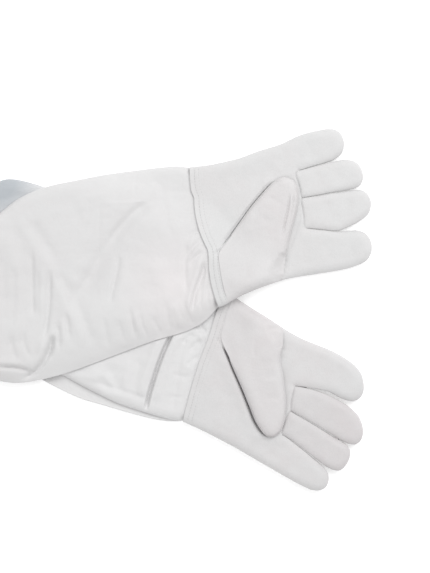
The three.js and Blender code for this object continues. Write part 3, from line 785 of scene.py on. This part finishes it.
def corner_normals(points, faces):
    total = np.zeros_like(points)
    for n in {len(face) for face in faces}:
        same = np.array([face for face in faces if len(face) == n])
        for k in range(1, n - 1):
            a, b, c = points[same[:, 0]], points[same[:, k]], points[same[:, k + 1]]
            normal = np.cross(b - a, c - a)
            for i in range(n):
                np.add.at(total, same[:, i], normal)
    return total / np.maximum(np.linalg.norm(total, axis=1, keepdims=True), 1e-9)


def shell(outer, faces, wall, up):
    """A sheet of its real thickness, closed all round. up is which way its outside faces."""
    faces = [list(face) for face in faces]
    normal = corner_normals(outer, faces)
    if np.sum(normal[:, 2]) * up < 0:
        normal = -normal
        faces = [face[::-1] for face in faces]
    count = len(outer)
    points = np.vstack([outer, outer - normal * wall])
    directed = {(a, b) for face in faces for a, b in zip(face, face[1:] + face[:1])}
    rim = [[b, a, a + count, b + count] for a, b in directed if (b, a) not in directed]
    inner = [[i + count for i in face[::-1]] for face in faces]
    return points, faces + inner + sorted(rim)


def two_skins(outer, inner):
    """Closes two grids of points, one behind the other."""
    rows, cols = outer.shape[:2]
    count = rows * cols
    points = np.vstack([outer.reshape(-1, 3), inner.reshape(-1, 3)])
    k = np.arange(count).reshape(rows, cols)
    top = quads_of(rows, cols)
    ring = np.concatenate([k[0, :-1], k[:-1, -1], k[-1, :0:-1], k[:0:-1, 0]])
    after = np.roll(ring, -1)
    side = np.stack([ring, after, after + count, ring + count], -1)
    return points, facing_out(points, np.vstack([top, top[:, ::-1] + count, side]))


def in_scene(name, data):
    made = bpy.data.objects.new(name, data)
    bpy.context.scene.collection.objects.link(made)
    return made


def new_piece(name, points, faces, material, uv=None, smooth_angle=55):
    mesh = bpy.data.meshes.new(name)
    mesh.from_pydata((np.asarray(points) * MM).tolist(), [], [[int(i) for i in f] for f in faces])
    mesh.polygons.foreach_set("use_smooth", [True] * len(mesh.polygons))
    mesh.set_sharp_from_angle(angle=math.radians(smooth_angle))
    if uv is not None:
        layer = mesh.uv_layers.new(name="pattern")
        index = np.zeros(len(mesh.loops), int)
        mesh.loops.foreach_get("vertex_index", index)
        layer.data.foreach_set("uv", (np.asarray(uv)[index] * MM).ravel())
    mesh.update()
    mesh.materials.append(material)
    return in_scene(name, mesh)


def sheet_piece(name, glove, grid, height, wall, up, material, under=0.0, fine=()):
    """A panel from its flat grid and a function that gives the heights of its outside.

    fine lists the lines near which the panel is divided more closely."""
    rows, cols = grid.shape[:2]
    flat, faces = grid.reshape(rows * cols, -1), quads_of(rows, cols)
    for line, reach, cuts in fine:
        flat, faces = refine(flat, np.asarray(faces), line, reach, cuts)
    z = height(flat) if callable(height) else height
    if isinstance(z, tuple):
        z, under = z
    flat = flat[:, :2]
    points, faces = shell(place(glove, flat, z, under), faces, wall, up)
    return new_piece(name, points, faces, material, np.vstack([flat, flat]))


# ---- Materials --------------------------------------------------------------------------
def feed(tree, socket, value):
    """A number or a colour goes straight into a socket, another node's output through a link."""
    if isinstance(value, tuple):
        socket.default_value = (*value, 1.0)
    elif isinstance(value, (int, float)):
        socket.default_value = value
    else:
        tree.links.new(value, socket)


def node(tree, kind, **sockets):
    made = tree.nodes.new(kind)
    for key, value in sockets.items():
        feed(tree, made.inputs[key], value)
    return made


def ramp(tree, source, low, high, first, last):
    made = node(tree, "ShaderNodeMapRange", Value=source)
    for key, value in (("From Min", low), ("From Max", high), ("To Min", first), ("To Max", last)):
        made.inputs[key].default_value = value
    return made.outputs["Result"]


def mix_color(tree, factor, a, b):
    made = node(tree, "ShaderNodeMix", Factor=factor)
    made.data_type = "RGBA"
    for name, value in (("A", a), ("B", b)):
        feed(tree, [i for i in made.inputs if i.name == name and i.type == "RGBA"][0], value)
    return [o for o in made.outputs if o.type == "RGBA"][0]


def math_node(tree, operation, *values):
    made = tree.nodes.new("ShaderNodeMath")
    made.operation = operation
    for socket, value in zip(made.inputs, values):
        feed(tree, socket, value)
    return made.outputs[0]


def noise_at(tree, vector, scale, detail=3.0, rough=0.5):
    made = node(tree, "ShaderNodeTexNoise", Vector=vector, Scale=scale, Detail=detail, Roughness=rough)
    return made.outputs["Fac"]


def bump(tree, height, distance, strength=1.0, normal=None):
    made = node(tree, "ShaderNodeBump", Height=height, Strength=strength, Distance=distance)
    if normal is not None:
        tree.links.new(normal, made.inputs["Normal"])
    return made.outputs["Normal"]


def mapped(tree, vector, key, value):
    """Coordinates that are moved (Location) or stretched (Scale)."""
    made = node(tree, "ShaderNodeMapping", Vector=vector)
    made.inputs[key].default_value = value
    return made.outputs["Vector"]


def waves(tree, value, pitch):
    return math_node(tree, "SINE", math_node(tree, "MULTIPLY", value, 2 * math.pi / pitch))


def half_of(tree, value, share=0.5):
    return math_node(tree, "MULTIPLY", value, share)


def object_place(tree):
    return tree.nodes.new("ShaderNodeTexCoord").outputs["Object"]


def pattern_place(tree):
    """The place on the flat pattern of the cloth, and its two coordinates."""
    cloth = tree.nodes.new("ShaderNodeUVMap")
    cloth.uv_map = "pattern"
    split = node(tree, "ShaderNodeSeparateXYZ", Vector=cloth.outputs["UV"])
    return cloth.outputs["UV"], split.outputs["X"], split.outputs["Y"]


def new_material(name):
    material = bpy.data.materials.new(name)
    material.use_nodes = True
    return material, material.node_tree, material.node_tree.nodes["Principled BSDF"]


def finish_shader(tree, shader, tone, rough, normal):
    for key, value in (("Base Color", tone), ("Roughness", rough), ("Normal", normal)):
        tree.links.new(value, shader.inputs[key])


def tinted(color, share):
    return tuple(min(c * share, 1) for c in color)


def leather(name, color, pink, shift):
    """White goatskin: fine pebble grain, soft wrinkles, faint pink and lighter patches."""
    material, tree, shader = new_material(name)
    at = mapped(tree, object_place(tree), "Location", (shift, shift * 0.7, shift * 0.3))
    patches = noise_at(tree, at, 16, 4, 0.55)
    fine_patches = noise_at(tree, at, 75, 3, 0.6)
    tone = mix_color(tree, ramp(tree, patches, 0.36, 0.66, 0.0, 1.0), color, pink)
    tone = mix_color(tree, ramp(tree, fine_patches, 0.42, 0.72, 0.0, 0.65), tone, tinted(color, 1.045))
    cells = node(tree, "ShaderNodeTexVoronoi", Vector=at, Scale=950.0)
    pebble = cells.outputs["Distance"]
    tone = mix_color(tree, ramp(tree, pebble, 0.25, 0.75, 0.0, 0.22), tone, tinted(color, 0.86))
    shader.inputs["Specular IOR Level"].default_value = 0.32
    shader.inputs["Sheen Weight"].default_value = 0.08
    wrinkles = bump(tree, noise_at(tree, at, 210, 4, 0.6), 0.0009, 0.45)
    grain = bump(tree, math_node(tree, "MULTIPLY", pebble, -1.0), 0.00016, 0.55, wrinkles)
    finish_shader(tree, shader, tone, ramp(tree, fine_patches, 0.3, 0.7, 0.52, 0.72), grain)
    return material


WEAVE_PITCH, RIB_PITCH, PICK_PITCH = 0.00085, 0.0012, 0.0018     # in metres
SLUB_LONG, SLUB_THIN = 110, 1500        # how a slub is stretched along its thread and across it


def canvas(name, color, shade, shift, shade_and_tint_patch):
    """Plain-woven cotton canvas: warp and weft over and under, slubs, soft creases.

    The patch (point of the pattern, whole within, gone beyond, color) is a place of another tone: painted
    shade, a dark bluish grey, at the hem end of the lower glove's sleeve, and a lighter, pinker tone near the
    low corner of the upper glove's cuff."""
    material, tree, shader = new_material(name)
    cloth, across, down = pattern_place(tree)
    weave = math_node(tree, "MULTIPLY", waves(tree, across, WEAVE_PITCH), waves(tree, down, WEAVE_PITCH))
    weave = math_node(tree, "ADD", half_of(tree, weave), 0.5)
    at = mapped(tree, object_place(tree), "Location", (shift, shift, 0))
    slubs, cross_slubs = (noise_at(tree, mapped(tree, cloth, "Scale", (*scale, 1)), 1.0, 2, 0.5)
                          for scale in ((SLUB_LONG, SLUB_THIN), (SLUB_THIN, SLUB_LONG)))
    patches = noise_at(tree, at, 14, 4, 0.55)
    tone = mix_color(tree, ramp(tree, patches, 0.35, 0.68, 0.0, 1.0), color, shade)
    tone = mix_color(tree, ramp(tree, slubs, 0.45, 0.75, 0.0, 0.22), tone, tinted(color, 1.05))
    # The patch mixed in here is painted shade on the lower glove's sleeve, and a lighter pinker tone on the
    # upper one.
    spot, whole, gone, other = shade_and_tint_patch
    away = tree.nodes.new("ShaderNodeVectorMath")
    away.operation = "DISTANCE"
    away.inputs[1].default_value = (*spot, 0)
    tree.links.new(cloth, away.inputs[0])
    tone = mix_color(tree, ramp(tree, away.outputs["Value"], whole, gone, 1.0, 0.0), tone, other)
    tone = mix_color(tree, ramp(tree, weave, 0.0, 0.5, 0.14, 0.0), tone, tinted(color, 0.8))
    shader.inputs["Specular IOR Level"].default_value = 0.2
    shader.inputs["Sheen Weight"].default_value = 0.15
    rumple = bump(tree, noise_at(tree, at, 70, 4, 0.55), 0.0022, 0.4)
    threads = math_node(tree, "ADD", weave, math_node(tree, "ADD", slubs, cross_slubs))
    woven = bump(tree, threads, 0.00012, 0.6, rumple)
    finish_shader(tree, shader, tone, ramp(tree, cross_slubs, 0.3, 0.7, 0.78, 0.93), woven)
    return material


def thread(name, color):
    """Twisted sewing thread."""
    material, tree, shader = new_material(name)
    twist = noise_at(tree, object_place(tree), 2600, 2, 0.5)
    tone = mix_color(tree, ramp(tree, twist, 0.35, 0.65, 0.0, 1.0), color, tinted(color, 0.8))
    finish_shader(tree, shader, tone, ramp(tree, twist, 0.3, 0.7, 0.45, 0.7), bump(tree, twist, 0.0001, 0.6))
    return material


def elastic(name, color):
    """Braided elastic: fine ribs along the band."""
    material, tree, shader = new_material(name)
    _, across, down = pattern_place(tree)
    ribs = half_of(tree, waves(tree, across, RIB_PITCH))
    picks = half_of(tree, waves(tree, down, PICK_PITCH), 0.3)
    braid = math_node(tree, "ADD", ribs, picks)
    tone = mix_color(tree, ramp(tree, braid, -0.6, 0.6, 0.0, 1.0), tinted(color, 0.84), color)
    finish_shader(tree, shader, tone, ramp(tree, braid, -0.6, 0.6, 0.8, 0.55), bump(tree, braid, 0.0003, 0.8))
    return material


HIDES = {
    "left": dict(
        palm=leather("goatskin palm, left", (0.693, 0.690, 0.692), (0.700, 0.680, 0.682), 0.0),
        thumb=leather("goatskin thumb, left", (0.696, 0.684, 0.687), (0.706, 0.674, 0.678), 0.31),
        finger=leather("goatskin fingers, left", (0.668, 0.654, 0.657), (0.672, 0.640, 0.645), 0.57),
        back=leather("goatskin back, left", (0.690, 0.688, 0.687), (0.700, 0.680, 0.678), 0.83)),
    "right": dict(
        palm=leather("goatskin palm, right", (0.698, 0.698, 0.699), (0.710, 0.694, 0.695), 0.11),
        thumb=leather("goatskin thumb, right", (0.700, 0.691, 0.693), (0.706, 0.680, 0.683), 0.42),
        finger=leather("goatskin fingers, right", (0.706, 0.706, 0.707), (0.700, 0.689, 0.690), 0.68),
        back=leather("goatskin back, right", (0.696, 0.694, 0.693), (0.705, 0.686, 0.684), 0.94)),
}
CLOTHS = {
    # The patch on the lower glove's sleeve is painted shade: a dark bluish grey at the hem end, where the
    # cloth lies in shade.
    "left": canvas("cotton canvas, left", (0.768, 0.766, 0.768), (0.745, 0.737, 0.740), 0.4,
                   ((-0.262, -0.106), 0.018, 0.052, (0.48, 0.51, 0.54))),
    "right": canvas("cotton canvas, right", (0.745, 0.743, 0.744), (0.722, 0.712, 0.715), 0.0,
                    ((-0.045, -0.045), 0.0, 0.062, (0.800, 0.772, 0.776))),
}
THREAD = thread("sewing thread", (0.66, 0.655, 0.655))
ELASTIC = elastic("braided elastic", (0.84, 0.84, 0.83))


# ---- Putting pieces on their bodies, or baking them where they lie ----------------------
def hinge_blend(piece, glove, start, end):
    """start and end are points in the glove's own u, v."""
    at = place(glove, np.array([start, end], float), HAND_DEEP) * MM
    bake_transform(piece)


def sleeve_body(glove):
    return "left_glove" if glove is LEFT else "right_gauntlet"


def on_hand(piece, glove):
    """The left hand's pieces go on the left glove's body. The right hand's are baked where they lie, with
    points given for its wrist just past the edge of the leather.
    """
    if glove is LEFT:
        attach(piece, "left_glove")
    else:
        near, far = WRIST_BEND
        hinge_blend(piece, glove, (near, 0.0), (far, 0.0))


def on_finger(piece, glove, key):
    a, _, b = glove["fingers"][key]
    origin, across, along_hinge = knuckle_frame(glove)
    start = origin + along_hinge * (((a[0] + b[0]) / 2 - origin) @ along_hinge)
    hinge_blend(piece, glove,
                start, start + across * FINGER_BEND)


def on_thumb(piece, glove):
    joint = [j for j in frame["joints"] if j["name"] == f"{glove['name']}_thumb_unfold"][0]
    pos = np.array(joint["pos_m"], float)
    across = np.cross((0, 0, 1), np.array(joint["axis"], float))
    across[2] = 0
    across /= np.linalg.norm(across)
    inward = place(glove, np.array([(60.0, 0.0)]), HAND_DEEP)[0] * MM - pos
    if np.dot(across, inward) < 0:
        across = -across
    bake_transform(piece)


def stands_for(cad_node):
    """The piece replaces a CAD node, which is hidden."""
    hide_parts(cad_node)


# ---- Building the hand ------------------------------------------------------------------
def straight(a, b):
    return spline([tuple(a), tuple(b)])


def split_at_knuckle(glove, line):
    """The parts of a line before and past the hinge line of the fingers, both with the point on it."""
    origin, across, _ = knuckle_frame(glove)
    d = (line - origin) @ across
    if d[0] > 0:
        return None, np.vstack([[line[0] - d[0] * across], line])
    i = int(np.argmax(d > 0))
    w = d[i] / (d[i] - d[i - 1])
    point = [line[i] * (1 - w) + line[i - 1] * w]
    return np.vstack([line[:i], point]), np.vstack([point, line[i:]])


def inset_thumb_side(glove):
    """The palm's edge on the thumb side, drawn in where the thumb wraps round it."""
    line, base = glove["thumb_side"], glove["thumb_base"]
    u = line[:, 0]
    amount = 3.2 * smooth((u - base[0][0] - 0.5) / 2.0) * smooth((base[-1][0] - u - 0.5) / 2.0)
    return np.column_stack([u, line[:, 1] + amount])


def build_palm(glove):
    name, fingers = glove["name"], glove["fingers"]
    c0 = glove["cuff"]
    c1 = join(straight(fingers["index"][0][0], glove["seam_middle"][0]), glove["seam_middle"],
              glove["seam_ring"], straight(glove["seam_ring"][-1], fingers["little"][2][0]))
    d0, d1 = inset_thumb_side(glove), glove["little_side"]
    grid = coons(c0, c1, d0, d1, spacing(length_of(c0), PALM_STEP),
                 spacing(length_of(d1), PALM_STEP, False, True))
    edges, marks = hand_edges(glove, "palm", 1), HAND_MARKS[name]
    thumb_line = spline(marks[0][0], 6)
    piece = sheet_piece(f"{name}_palm_leather", glove, grid, lambda flat: hand_top(glove, flat, edges, marks),
                        HIDE, 1, HIDES[name]["palm"], fine=[(thumb_line, 4.5, 2)])
    on_hand(piece, glove)
    stands_for(f"{name}_palm_panel")


def build_back(glove):
    name, fingers = glove["name"], glove["fingers"]
    d0 = split_at_knuckle(glove, join(glove["thumb_side"], fingers["index"][0]))[0]
    d1 = split_at_knuckle(glove, join(glove["little_side"], fingers["little"][2]))[0]
    c0 = glove["cuff"]
    s = spacing(length_of(c0), HIDDEN_STEP)
    t = spacing(length_of(d1), HIDDEN_STEP, False, False)
    grid = coons(c0, straight(d0[-1], d1[-1]), d0, d1, s, t)
    z = hand_back(glove, grid.reshape(-1, 2), hand_edges(glove, "back", -1))
    piece = sheet_piece(f"{name}_hand_back_leather", glove, grid, z, HIDE, -1, HIDES[name]["back"], under=1.0)
    on_hand(piece, glove)
    stands_for(f"{name}_back_panel")


def build_finger_front(glove, key):
    name = glove["name"]
    a, tip, b = glove["fingers"][key]
    base = glove[f"seam_{key}"].copy() if key in ("middle", "ring") else straight(a[0], b[0])
    base[0], base[-1] = a[0], b[0]
    s = spacing((length_of(base) + length_of(tip)) / 2 * FINGER_FULL, FINGER_STEP)
    t = spacing(length_of(a), FINGER_STEP, key in ("middle", "ring"), True)
    grid = coons(base, tip, a, b, s, t)
    of_palm = key in ("index", "little")
    marks = (HAND_MARKS if of_palm else FINGER_MARKS)[name]
    z = hand_top(glove, grid.reshape(-1, 2), hand_edges(glove, key, 1), marks)
    material = HIDES[name]["palm" if of_palm else "finger"]
    front = sheet_piece(f"{name}_{key}_front_leather", glove, grid, z, HIDE, 1, material)
    on_finger(front, glove, key)
    stands_for(f"{name}_{key}_front")


def build_finger_back(glove, key):
    """It starts on the hinge line, where the back of the hand ends."""
    name = glove["name"]
    a, tip, b = glove["fingers"][key]
    if key == "index":
        a = join(glove["thumb_side"], a)
    if key == "little":
        b = join(glove["little_side"], b)
    a, b = split_at_knuckle(glove, a)[1], split_at_knuckle(glove, b)[1]
    base = straight(a[0], b[0])
    s = spacing((length_of(base) + length_of(tip)) / 2 * FINGER_FULL, HIDDEN_STEP)
    t = spacing(length_of(a), HIDDEN_STEP, False, True)
    grid = coons(base, tip, a, b, s, t)
    z = hand_back(glove, grid.reshape(-1, 2), hand_edges(glove, key, -1))
    back = sheet_piece(f"{name}_{key}_back_leather", glove, grid, z, HIDE, -1, HIDES[name]["back"])
    on_finger(back, glove, key)
    stands_for(f"{name}_{key}_back")


def build_fourchette(glove, key, side):
    """The strip between the front and the back of a finger, tapering towards the tip."""
    name = glove["name"]
    a, _, b = glove["fingers"][key]
    line, other = (a, b) if side == "thumbward" else (b, a)
    t = np.linspace(0.0, 0.93, 30)
    path = along(line, t)
    centre = along(line, [0.5])[0]
    inward = along(other, [0.5])[0] - centre
    inward /= np.linalg.norm(inward)
    half = (STRIP_HALF + 0.25) * (1 - smooth((t - 0.5) / 0.5) * 0.92)
    rows = []
    for w in np.arange(10) / 9 * 2 - 1:
        bulge = 0.35 * (1 - w * w) - 0.25
        rows.append(np.column_stack([path - inward * bulge, MID + w * half]))
    strip = np.stack(rows, 1)
    z = strip[:, :, 2].reshape(-1)
    outer = place(glove, strip[:, :, :2].reshape(-1, 2), z).reshape(strip.shape)
    normal = grid_normals(outer)
    ends = place(glove, np.array([centre, centre + inward]), 0.0)
    if (normal @ (ends[1] - ends[0])).sum() > 0:
        normal = -normal
    points, faces = two_skins(outer, outer - normal * FOURCHETTE)
    pattern = np.column_stack([np.repeat(t * length_of(line), strip.shape[1]), z])
    piece = new_piece(f"{name}_{key}_fourchette_{side}_leather", points, faces, HIDES[name]["finger"],
                      np.vstack([pattern, pattern]))
    on_finger(piece, glove, key)
    stands_for(f"{name}_{key}_fourchette_{side}")


def build_thumb(glove):
    name, material = glove["name"], HIDES[glove["name"]]["thumb"]
    base, tip, crease = glove["thumb_base"], glove["thumb_tip"], glove["thumb_crease"]
    d0 = join(glove["thumb_wrist"], crease)
    d1 = join(glove["thumb_seam"], glove["thumb_right"])
    grid = coons(base, tip, d0, d1, spacing(70, THUMB_STEP), spacing(length_of(d0), THUMB_STEP))
    z = thumb_top(glove, grid.reshape(-1, 2))
    top = sheet_piece(f"{name}_thumb_leather_top", glove, grid, z, HIDE, 1, material)
    # The underside starts further from the wrist and inside the wrap of the top.
    inner_base = along(base, np.linspace(0.42, 0.84, 20)) + np.array([0.0, 3.6])
    start = inner_base[0]
    near = along(crease, np.linspace(0.2, 1, 60))
    far = along(glove["thumb_right"], np.linspace(0.16, 1, 60))
    wrist_side = join(spline([tuple(start), (start[0] - 3, start[1] + 24), tuple(near[0])]), near)
    finger_side = join(straight(inner_base[-1], far[0]), far)
    s, t = spacing(60, HIDDEN_STEP), spacing(length_of(wrist_side), HIDDEN_STEP)
    grid = coons(inner_base, tip, wrist_side, finger_side, s, t)
    z = thumb_under(glove, grid.reshape(-1, 2))
    low = sheet_piece(f"{name}_thumb_leather_under", glove, grid, z, HIDE, -1, material)
    for piece, cad_node in ((top, "thumb_back"), (low, "thumb_front")):
        on_thumb(piece, glove)
        stands_for(f"{name}_{cad_node}")


# ---- Building the gauntlet --------------------------------------------------------------
def sleeve_grid(glove, step, little):
    """A grid over the sleeve. Its third value is the share across, which the gathers follow."""
    thumb = glove["sleeve_thumb"]
    s = spacing(180, step)
    t = np.linspace(0, 1, int(285 / step))
    grid = coons(straight(thumb[0], little[0]), straight(thumb[-1], little[-1]), thumb, little, s, t)
    return np.concatenate([grid, np.broadcast_to(s[None, :, None], (*grid.shape[:2], 1))], 2)


def build_sleeve(glove):
    name = glove["name"]
    grid = sleeve_grid(glove, HIDDEN_CANVAS_STEP, glove["sleeve_little"])
    back = sheet_piece(f"{name}_gauntlet_canvas_back", glove, grid,
                       lambda flat: sleeve_back(glove, flat[:, :2], flat[:, 2]), CANVAS, -1, CLOTHS[name],
                       under=1.0)
    top_grid = sleeve_grid(glove, CANVAS_STEP, glove["sleeve_top_edge"])
    first_fold = spline(SLEEVE_MARKS[name][0][0], 6)
    top = sheet_piece(f"{name}_gauntlet_canvas_palm", glove, top_grid,
                      lambda flat: sleeve_top(glove, flat[:, :2], flat[:, 2]), CANVAS, 1, CLOTHS[name],
                      fine=[(first_fold, 8.0, 2)])
    for piece, cad_node in ((top, "palm_panel"), (back, "back_panel")):
        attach(piece, sleeve_body(glove))
        stands_for(f"{name}_gauntlet_{cad_node}")


def mouth_ring(glove, past, inward, steps=150):
    """Once round the sleeve's mouth, past millimetres beyond the panels, drawn in by inward."""
    p, q = glove["sleeve_thumb"][-1], glove["sleeve_little"][-1]
    width = np.linalg.norm(q - p)
    across = (q - p) / width
    out = np.array([-across[1], across[0]])
    if out[0] > 0:
        out = -out
    s = spacing(width, width / steps)
    ring = []
    for layer in (1, -1):
        share = s if layer > 0 else s[::-1][1:-1]
        mouth = p + np.outer(share * width, across) + out * 0.01
        top, settle = sleeve_top(glove, mouth, share)
        low = sleeve_back(glove, mouth, share)
        edge = np.minimum(share, 1 - share) * width
        pull = inward * np.where(edge < inward * 2, edge / (inward * 2 + 1e-9), 1.0) if inward else 0
        z = (top if layer > 0 else low) - layer * np.minimum(pull, (top - low) / 2 - 0.05)
        x = (share - 0.5) * width * (1 - 2 * inward / width)
        spot = p + across * width / 2 + np.outer(x, across) + out * past
        ring.append((spot, z, settle if layer > 0 else np.ones(len(spot))))
    spot, z, under = (np.concatenate([r[k] for r in ring]) for k in range(3))
    return place(glove, spot, z, under)


def ring_piece(name, glove, profile, material):
    """A band round the sleeve's mouth. profile lists (millimetres past the panels, drawn in by)."""
    rings = np.stack([mouth_ring(glove, past, inward) for past, inward in profile])
    m, n = rings.shape[:2]
    pattern = [np.column_stack([np.full(n, past), np.linspace(0, 1, n) * 300]) for past, _ in profile]
    k = np.arange(m * n).reshape(m, n)
    after, beside = np.roll(k, -1, axis=0), np.roll(k, -1, axis=1)
    faces = np.stack([k, beside, np.roll(after, -1, axis=1), after], -1).reshape(-1, 4)
    points = rings.reshape(-1, 3)
    return new_piece(name, points, facing_out(points, faces), material, np.vstack(pattern))


def build_hem(glove):
    name, long, thick = glove["name"], CASING_LONG, CASING_THICK
    outside = [(x, 0.0) for x in np.linspace(0.4, long - 1.2, 9)]
    turn = [(long - 0.3, 0.5), (long, 1.4), (long, thick - 1.3), (long - 0.4, thick - 0.4)]
    back = [(x, thick) for x in np.linspace(long - 1.4, 0.4, 7)]
    inner = [(0.4, thick - CANVAS)] + [(x, thick - CANVAS) for x in np.linspace(2, long - 2.2, 6)]
    inner += [(long - CANVAS, thick - CANVAS - 0.4), (long - CANVAS, CANVAS + 0.4)]
    inner += [(x, CANVAS) for x in np.linspace(long - 2.2, 0.4, 7)]
    casing = ring_piece(f"{name}_gauntlet_hem_cloth", glove, outside + turn + back + inner, CLOTHS[name])
    band = [(x, CANVAS + 0.3) for x in np.linspace(2.2, long - 2.4, 6)]
    band += [(x, CANVAS + 1.5) for x in np.linspace(long - 2.4, 2.2, 6)]
    elastic_band = ring_piece(f"{name}_gauntlet_elastic_band", glove, band, ELASTIC)
    for piece, part, slot in ((casing, "casing", "canvas"), (elastic_band, "elastic", "elastic")):
        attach(piece, sleeve_body(glove))
        stands_for(f"{name}_gauntlet_hem_{part}")


# ---- Stitches ---------------------------------------------------------------------------
# Along a stitch: share of its length, share of its thickness, height over the cloth.
STITCH = ((-0.5, 0.12, -0.9), (-0.42, 0.75, -0.25), (-0.2, 1.0, 0.1), (0.2, 1.0, 0.1), (0.42, 0.75, -0.25),
          (0.5, 0.12, -0.9))
ROUND = 6                       # points round a thread
CUFF_STITCH = (3.0, 2.3, 0.27)  # pitch, length and half thickness of a stitch
HEM_STITCH = (3.2, 2.4, 0.26)


def stitch_row(path, pitch, long, thick, up):
    """Separate stitches lying along a path of points, each a short bowed thread."""
    total = length_of(path)
    count = int(total // pitch)
    points, faces = [], []
    for i in range(count):
        middle = (i + 0.5) * total / count
        ends = along(path, [(middle - long / 2) / total, (middle + long / 2) / total])
        direction = (ends[1] - ends[0]) / np.linalg.norm(ends[1] - ends[0])
        normal = np.array([0, 0, up], float)
        normal -= direction * normal.dot(direction)
        normal /= np.linalg.norm(normal)
        side = np.cross(direction, normal)
        base = len(points)
        for share, fat, rise in STITCH:
            at = ends.mean(0) + direction * long * share + normal * thick * rise
            for a in np.arange(ROUND) * 2 * math.pi / ROUND:
                points.append(at + (side * math.cos(a) + normal * math.sin(a)) * thick * fat)
        for r in range(base, base + (len(STITCH) - 1) * ROUND, ROUND):
            for k in range(ROUND):
                q = (k + 1) % ROUND
                faces.append([r + k, r + q, r + ROUND + q, r + ROUND + k])
        last = base + (len(STITCH) - 1) * ROUND
        faces.append([base + k for k in range(ROUND)][::-1])
        faces.append([last + k for k in range(ROUND)])
    return points, faces


def stitches(name, rows, pitch, long, thick, up):
    points, faces = [], []
    for row in rows:
        more_points, more_faces = stitch_row(row, pitch, long, thick, up)
        faces += [[i + len(points) for i in face] for face in more_faces]
        points += more_points
    return new_piece(name, np.array(points), faces, THREAD, None, 80)


def build_cuff_stitches(glove):
    name = glove["name"]
    v = glove["cuff"][:, 1]
    v = np.linspace(v.min() + 3.2, v.max() - 3.2, 140)
    paths = [np.column_stack([cuff_u(glove, v) + row, v]) for row in CUFF_ROWS]
    palm, back = hand_edges(glove, "palm", 1), hand_edges(glove, "back", -1)
    top_rows = [place(glove, path, hand_top(glove, path, palm, HAND_MARKS[name]) + 0.1) for path in paths]
    low_rows = [place(glove, path, np.maximum(hand_back(glove, path, back) + 0.05, 0.12), 1.0)
                for path in paths]
    for side, rows, up in (("palm", top_rows, 1), ("back", low_rows, -1)):
        piece = stitches(f"{name}_cuff_stitches_{side}", rows, *CUFF_STITCH, up)
        on_hand(piece, glove)


def build_hem_stitches(glove):
    rings = [mouth_ring(glove, past, -0.06) for past in (2.4, CASING_LONG - 3.0)]
    half = len(rings[0]) // 2
    for side, part, up in (("palm", slice(half), 1), ("back", slice(half, None), -1)):
        rows = [ring[part] for ring in rings]
        piece = stitches(f"{glove['name']}_hem_stitches_{side}", rows, *HEM_STITCH, up)
        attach(piece, sleeve_body(glove))


for glove in GLOVES:
    build_palm(glove)
    build_back(glove)
    for finger in FINGERS:
        build_finger_front(glove, finger)
        build_finger_back(glove, finger)
        if finger != "index":
            build_fourchette(glove, finger, "thumbward")
        if finger != "little":
            build_fourchette(glove, finger, "outward")
    build_thumb(glove)
    build_sleeve(glove)
    build_hem(glove)
    build_cuff_stitches(glove)
    build_hem_stitches(glove)

# ---- Floor, camera and light ------------------------------------------------------------
VIEW_CENTRE = (68.2, 26.9)      # point of the table in the middle of the view, in millimetres
VIEW_HIGH = 601.65              # length of table that the view's height takes in
CAMERA_HIGH = 2000.0
FOCUS_PLANE = 12.0
FLOOR_HALF, FLOOR_LOW = 4.0, -0.0004
SENSOR = 36.0


camera_data = bpy.data.cameras.new("camera")
camera = in_scene("camera", camera_data)
camera.location = (VIEW_CENTRE[0] * MM, VIEW_CENTRE[1] * MM, (CAMERA_HIGH + FOCUS_PLANE) * MM)
camera_data.sensor_width = SENSOR
camera_data.lens = SENSOR / 2 / (VIEW_HIGH / 2 / CAMERA_HIGH)
camera_data.clip_start, camera_data.clip_end = 0.05, 20.0
bpy.context.scene.camera = camera

floor_mesh = bpy.data.meshes.new("floor")
corners = [(x * FLOOR_HALF, y * FLOOR_HALF, FLOOR_LOW) for x, y in ((-1, -1), (1, -1), (1, 1), (-1, 1))]
floor_mesh.from_pydata(corners, [], [(0, 1, 2, 3)])
floor = in_scene("floor", floor_mesh)
floor_material, _, floor_shader = new_material("white floor")
floor_shader.inputs["Base Color"].default_value = (0.94, 0.94, 0.94, 1)
floor_shader.inputs["Roughness"].default_value = 0.9
floor_shader.inputs["Emission Color"].default_value = (1, 1, 1, 1)
floor_shader.inputs["Emission Strength"].default_value = 0.3
floor_mesh.materials.append(floor_material)

world = bpy.data.worlds.new("studio")
bpy.context.scene.world = world
world.use_nodes = True
world.node_tree.nodes["Background"].inputs["Color"].default_value = (1.0, 1.0, 1.0, 1)
world.node_tree.nodes["Background"].inputs["Strength"].default_value = 0.6


def lamp(name, at, size, power):
    """A soft square lamp that shines at the middle of the gloves."""
    data = bpy.data.lights.new(name, "AREA")
    data.shape = "SQUARE"
    data.size = size
    data.energy = power
    made = in_scene(name, data)
    made.location = at
    made.rotation_euler = (-Vector(at)).to_track_quat("-Z", "Y").to_euler()


lamp("key", (0.9, 1.1, 1.7), 1.2, 24)
lamp("fill", (-1.3, -0.6, 1.6), 1.6, 8)

bpy.context.scene.view_settings.view_transform = "Standard"

bpy.context.view_layer.update()
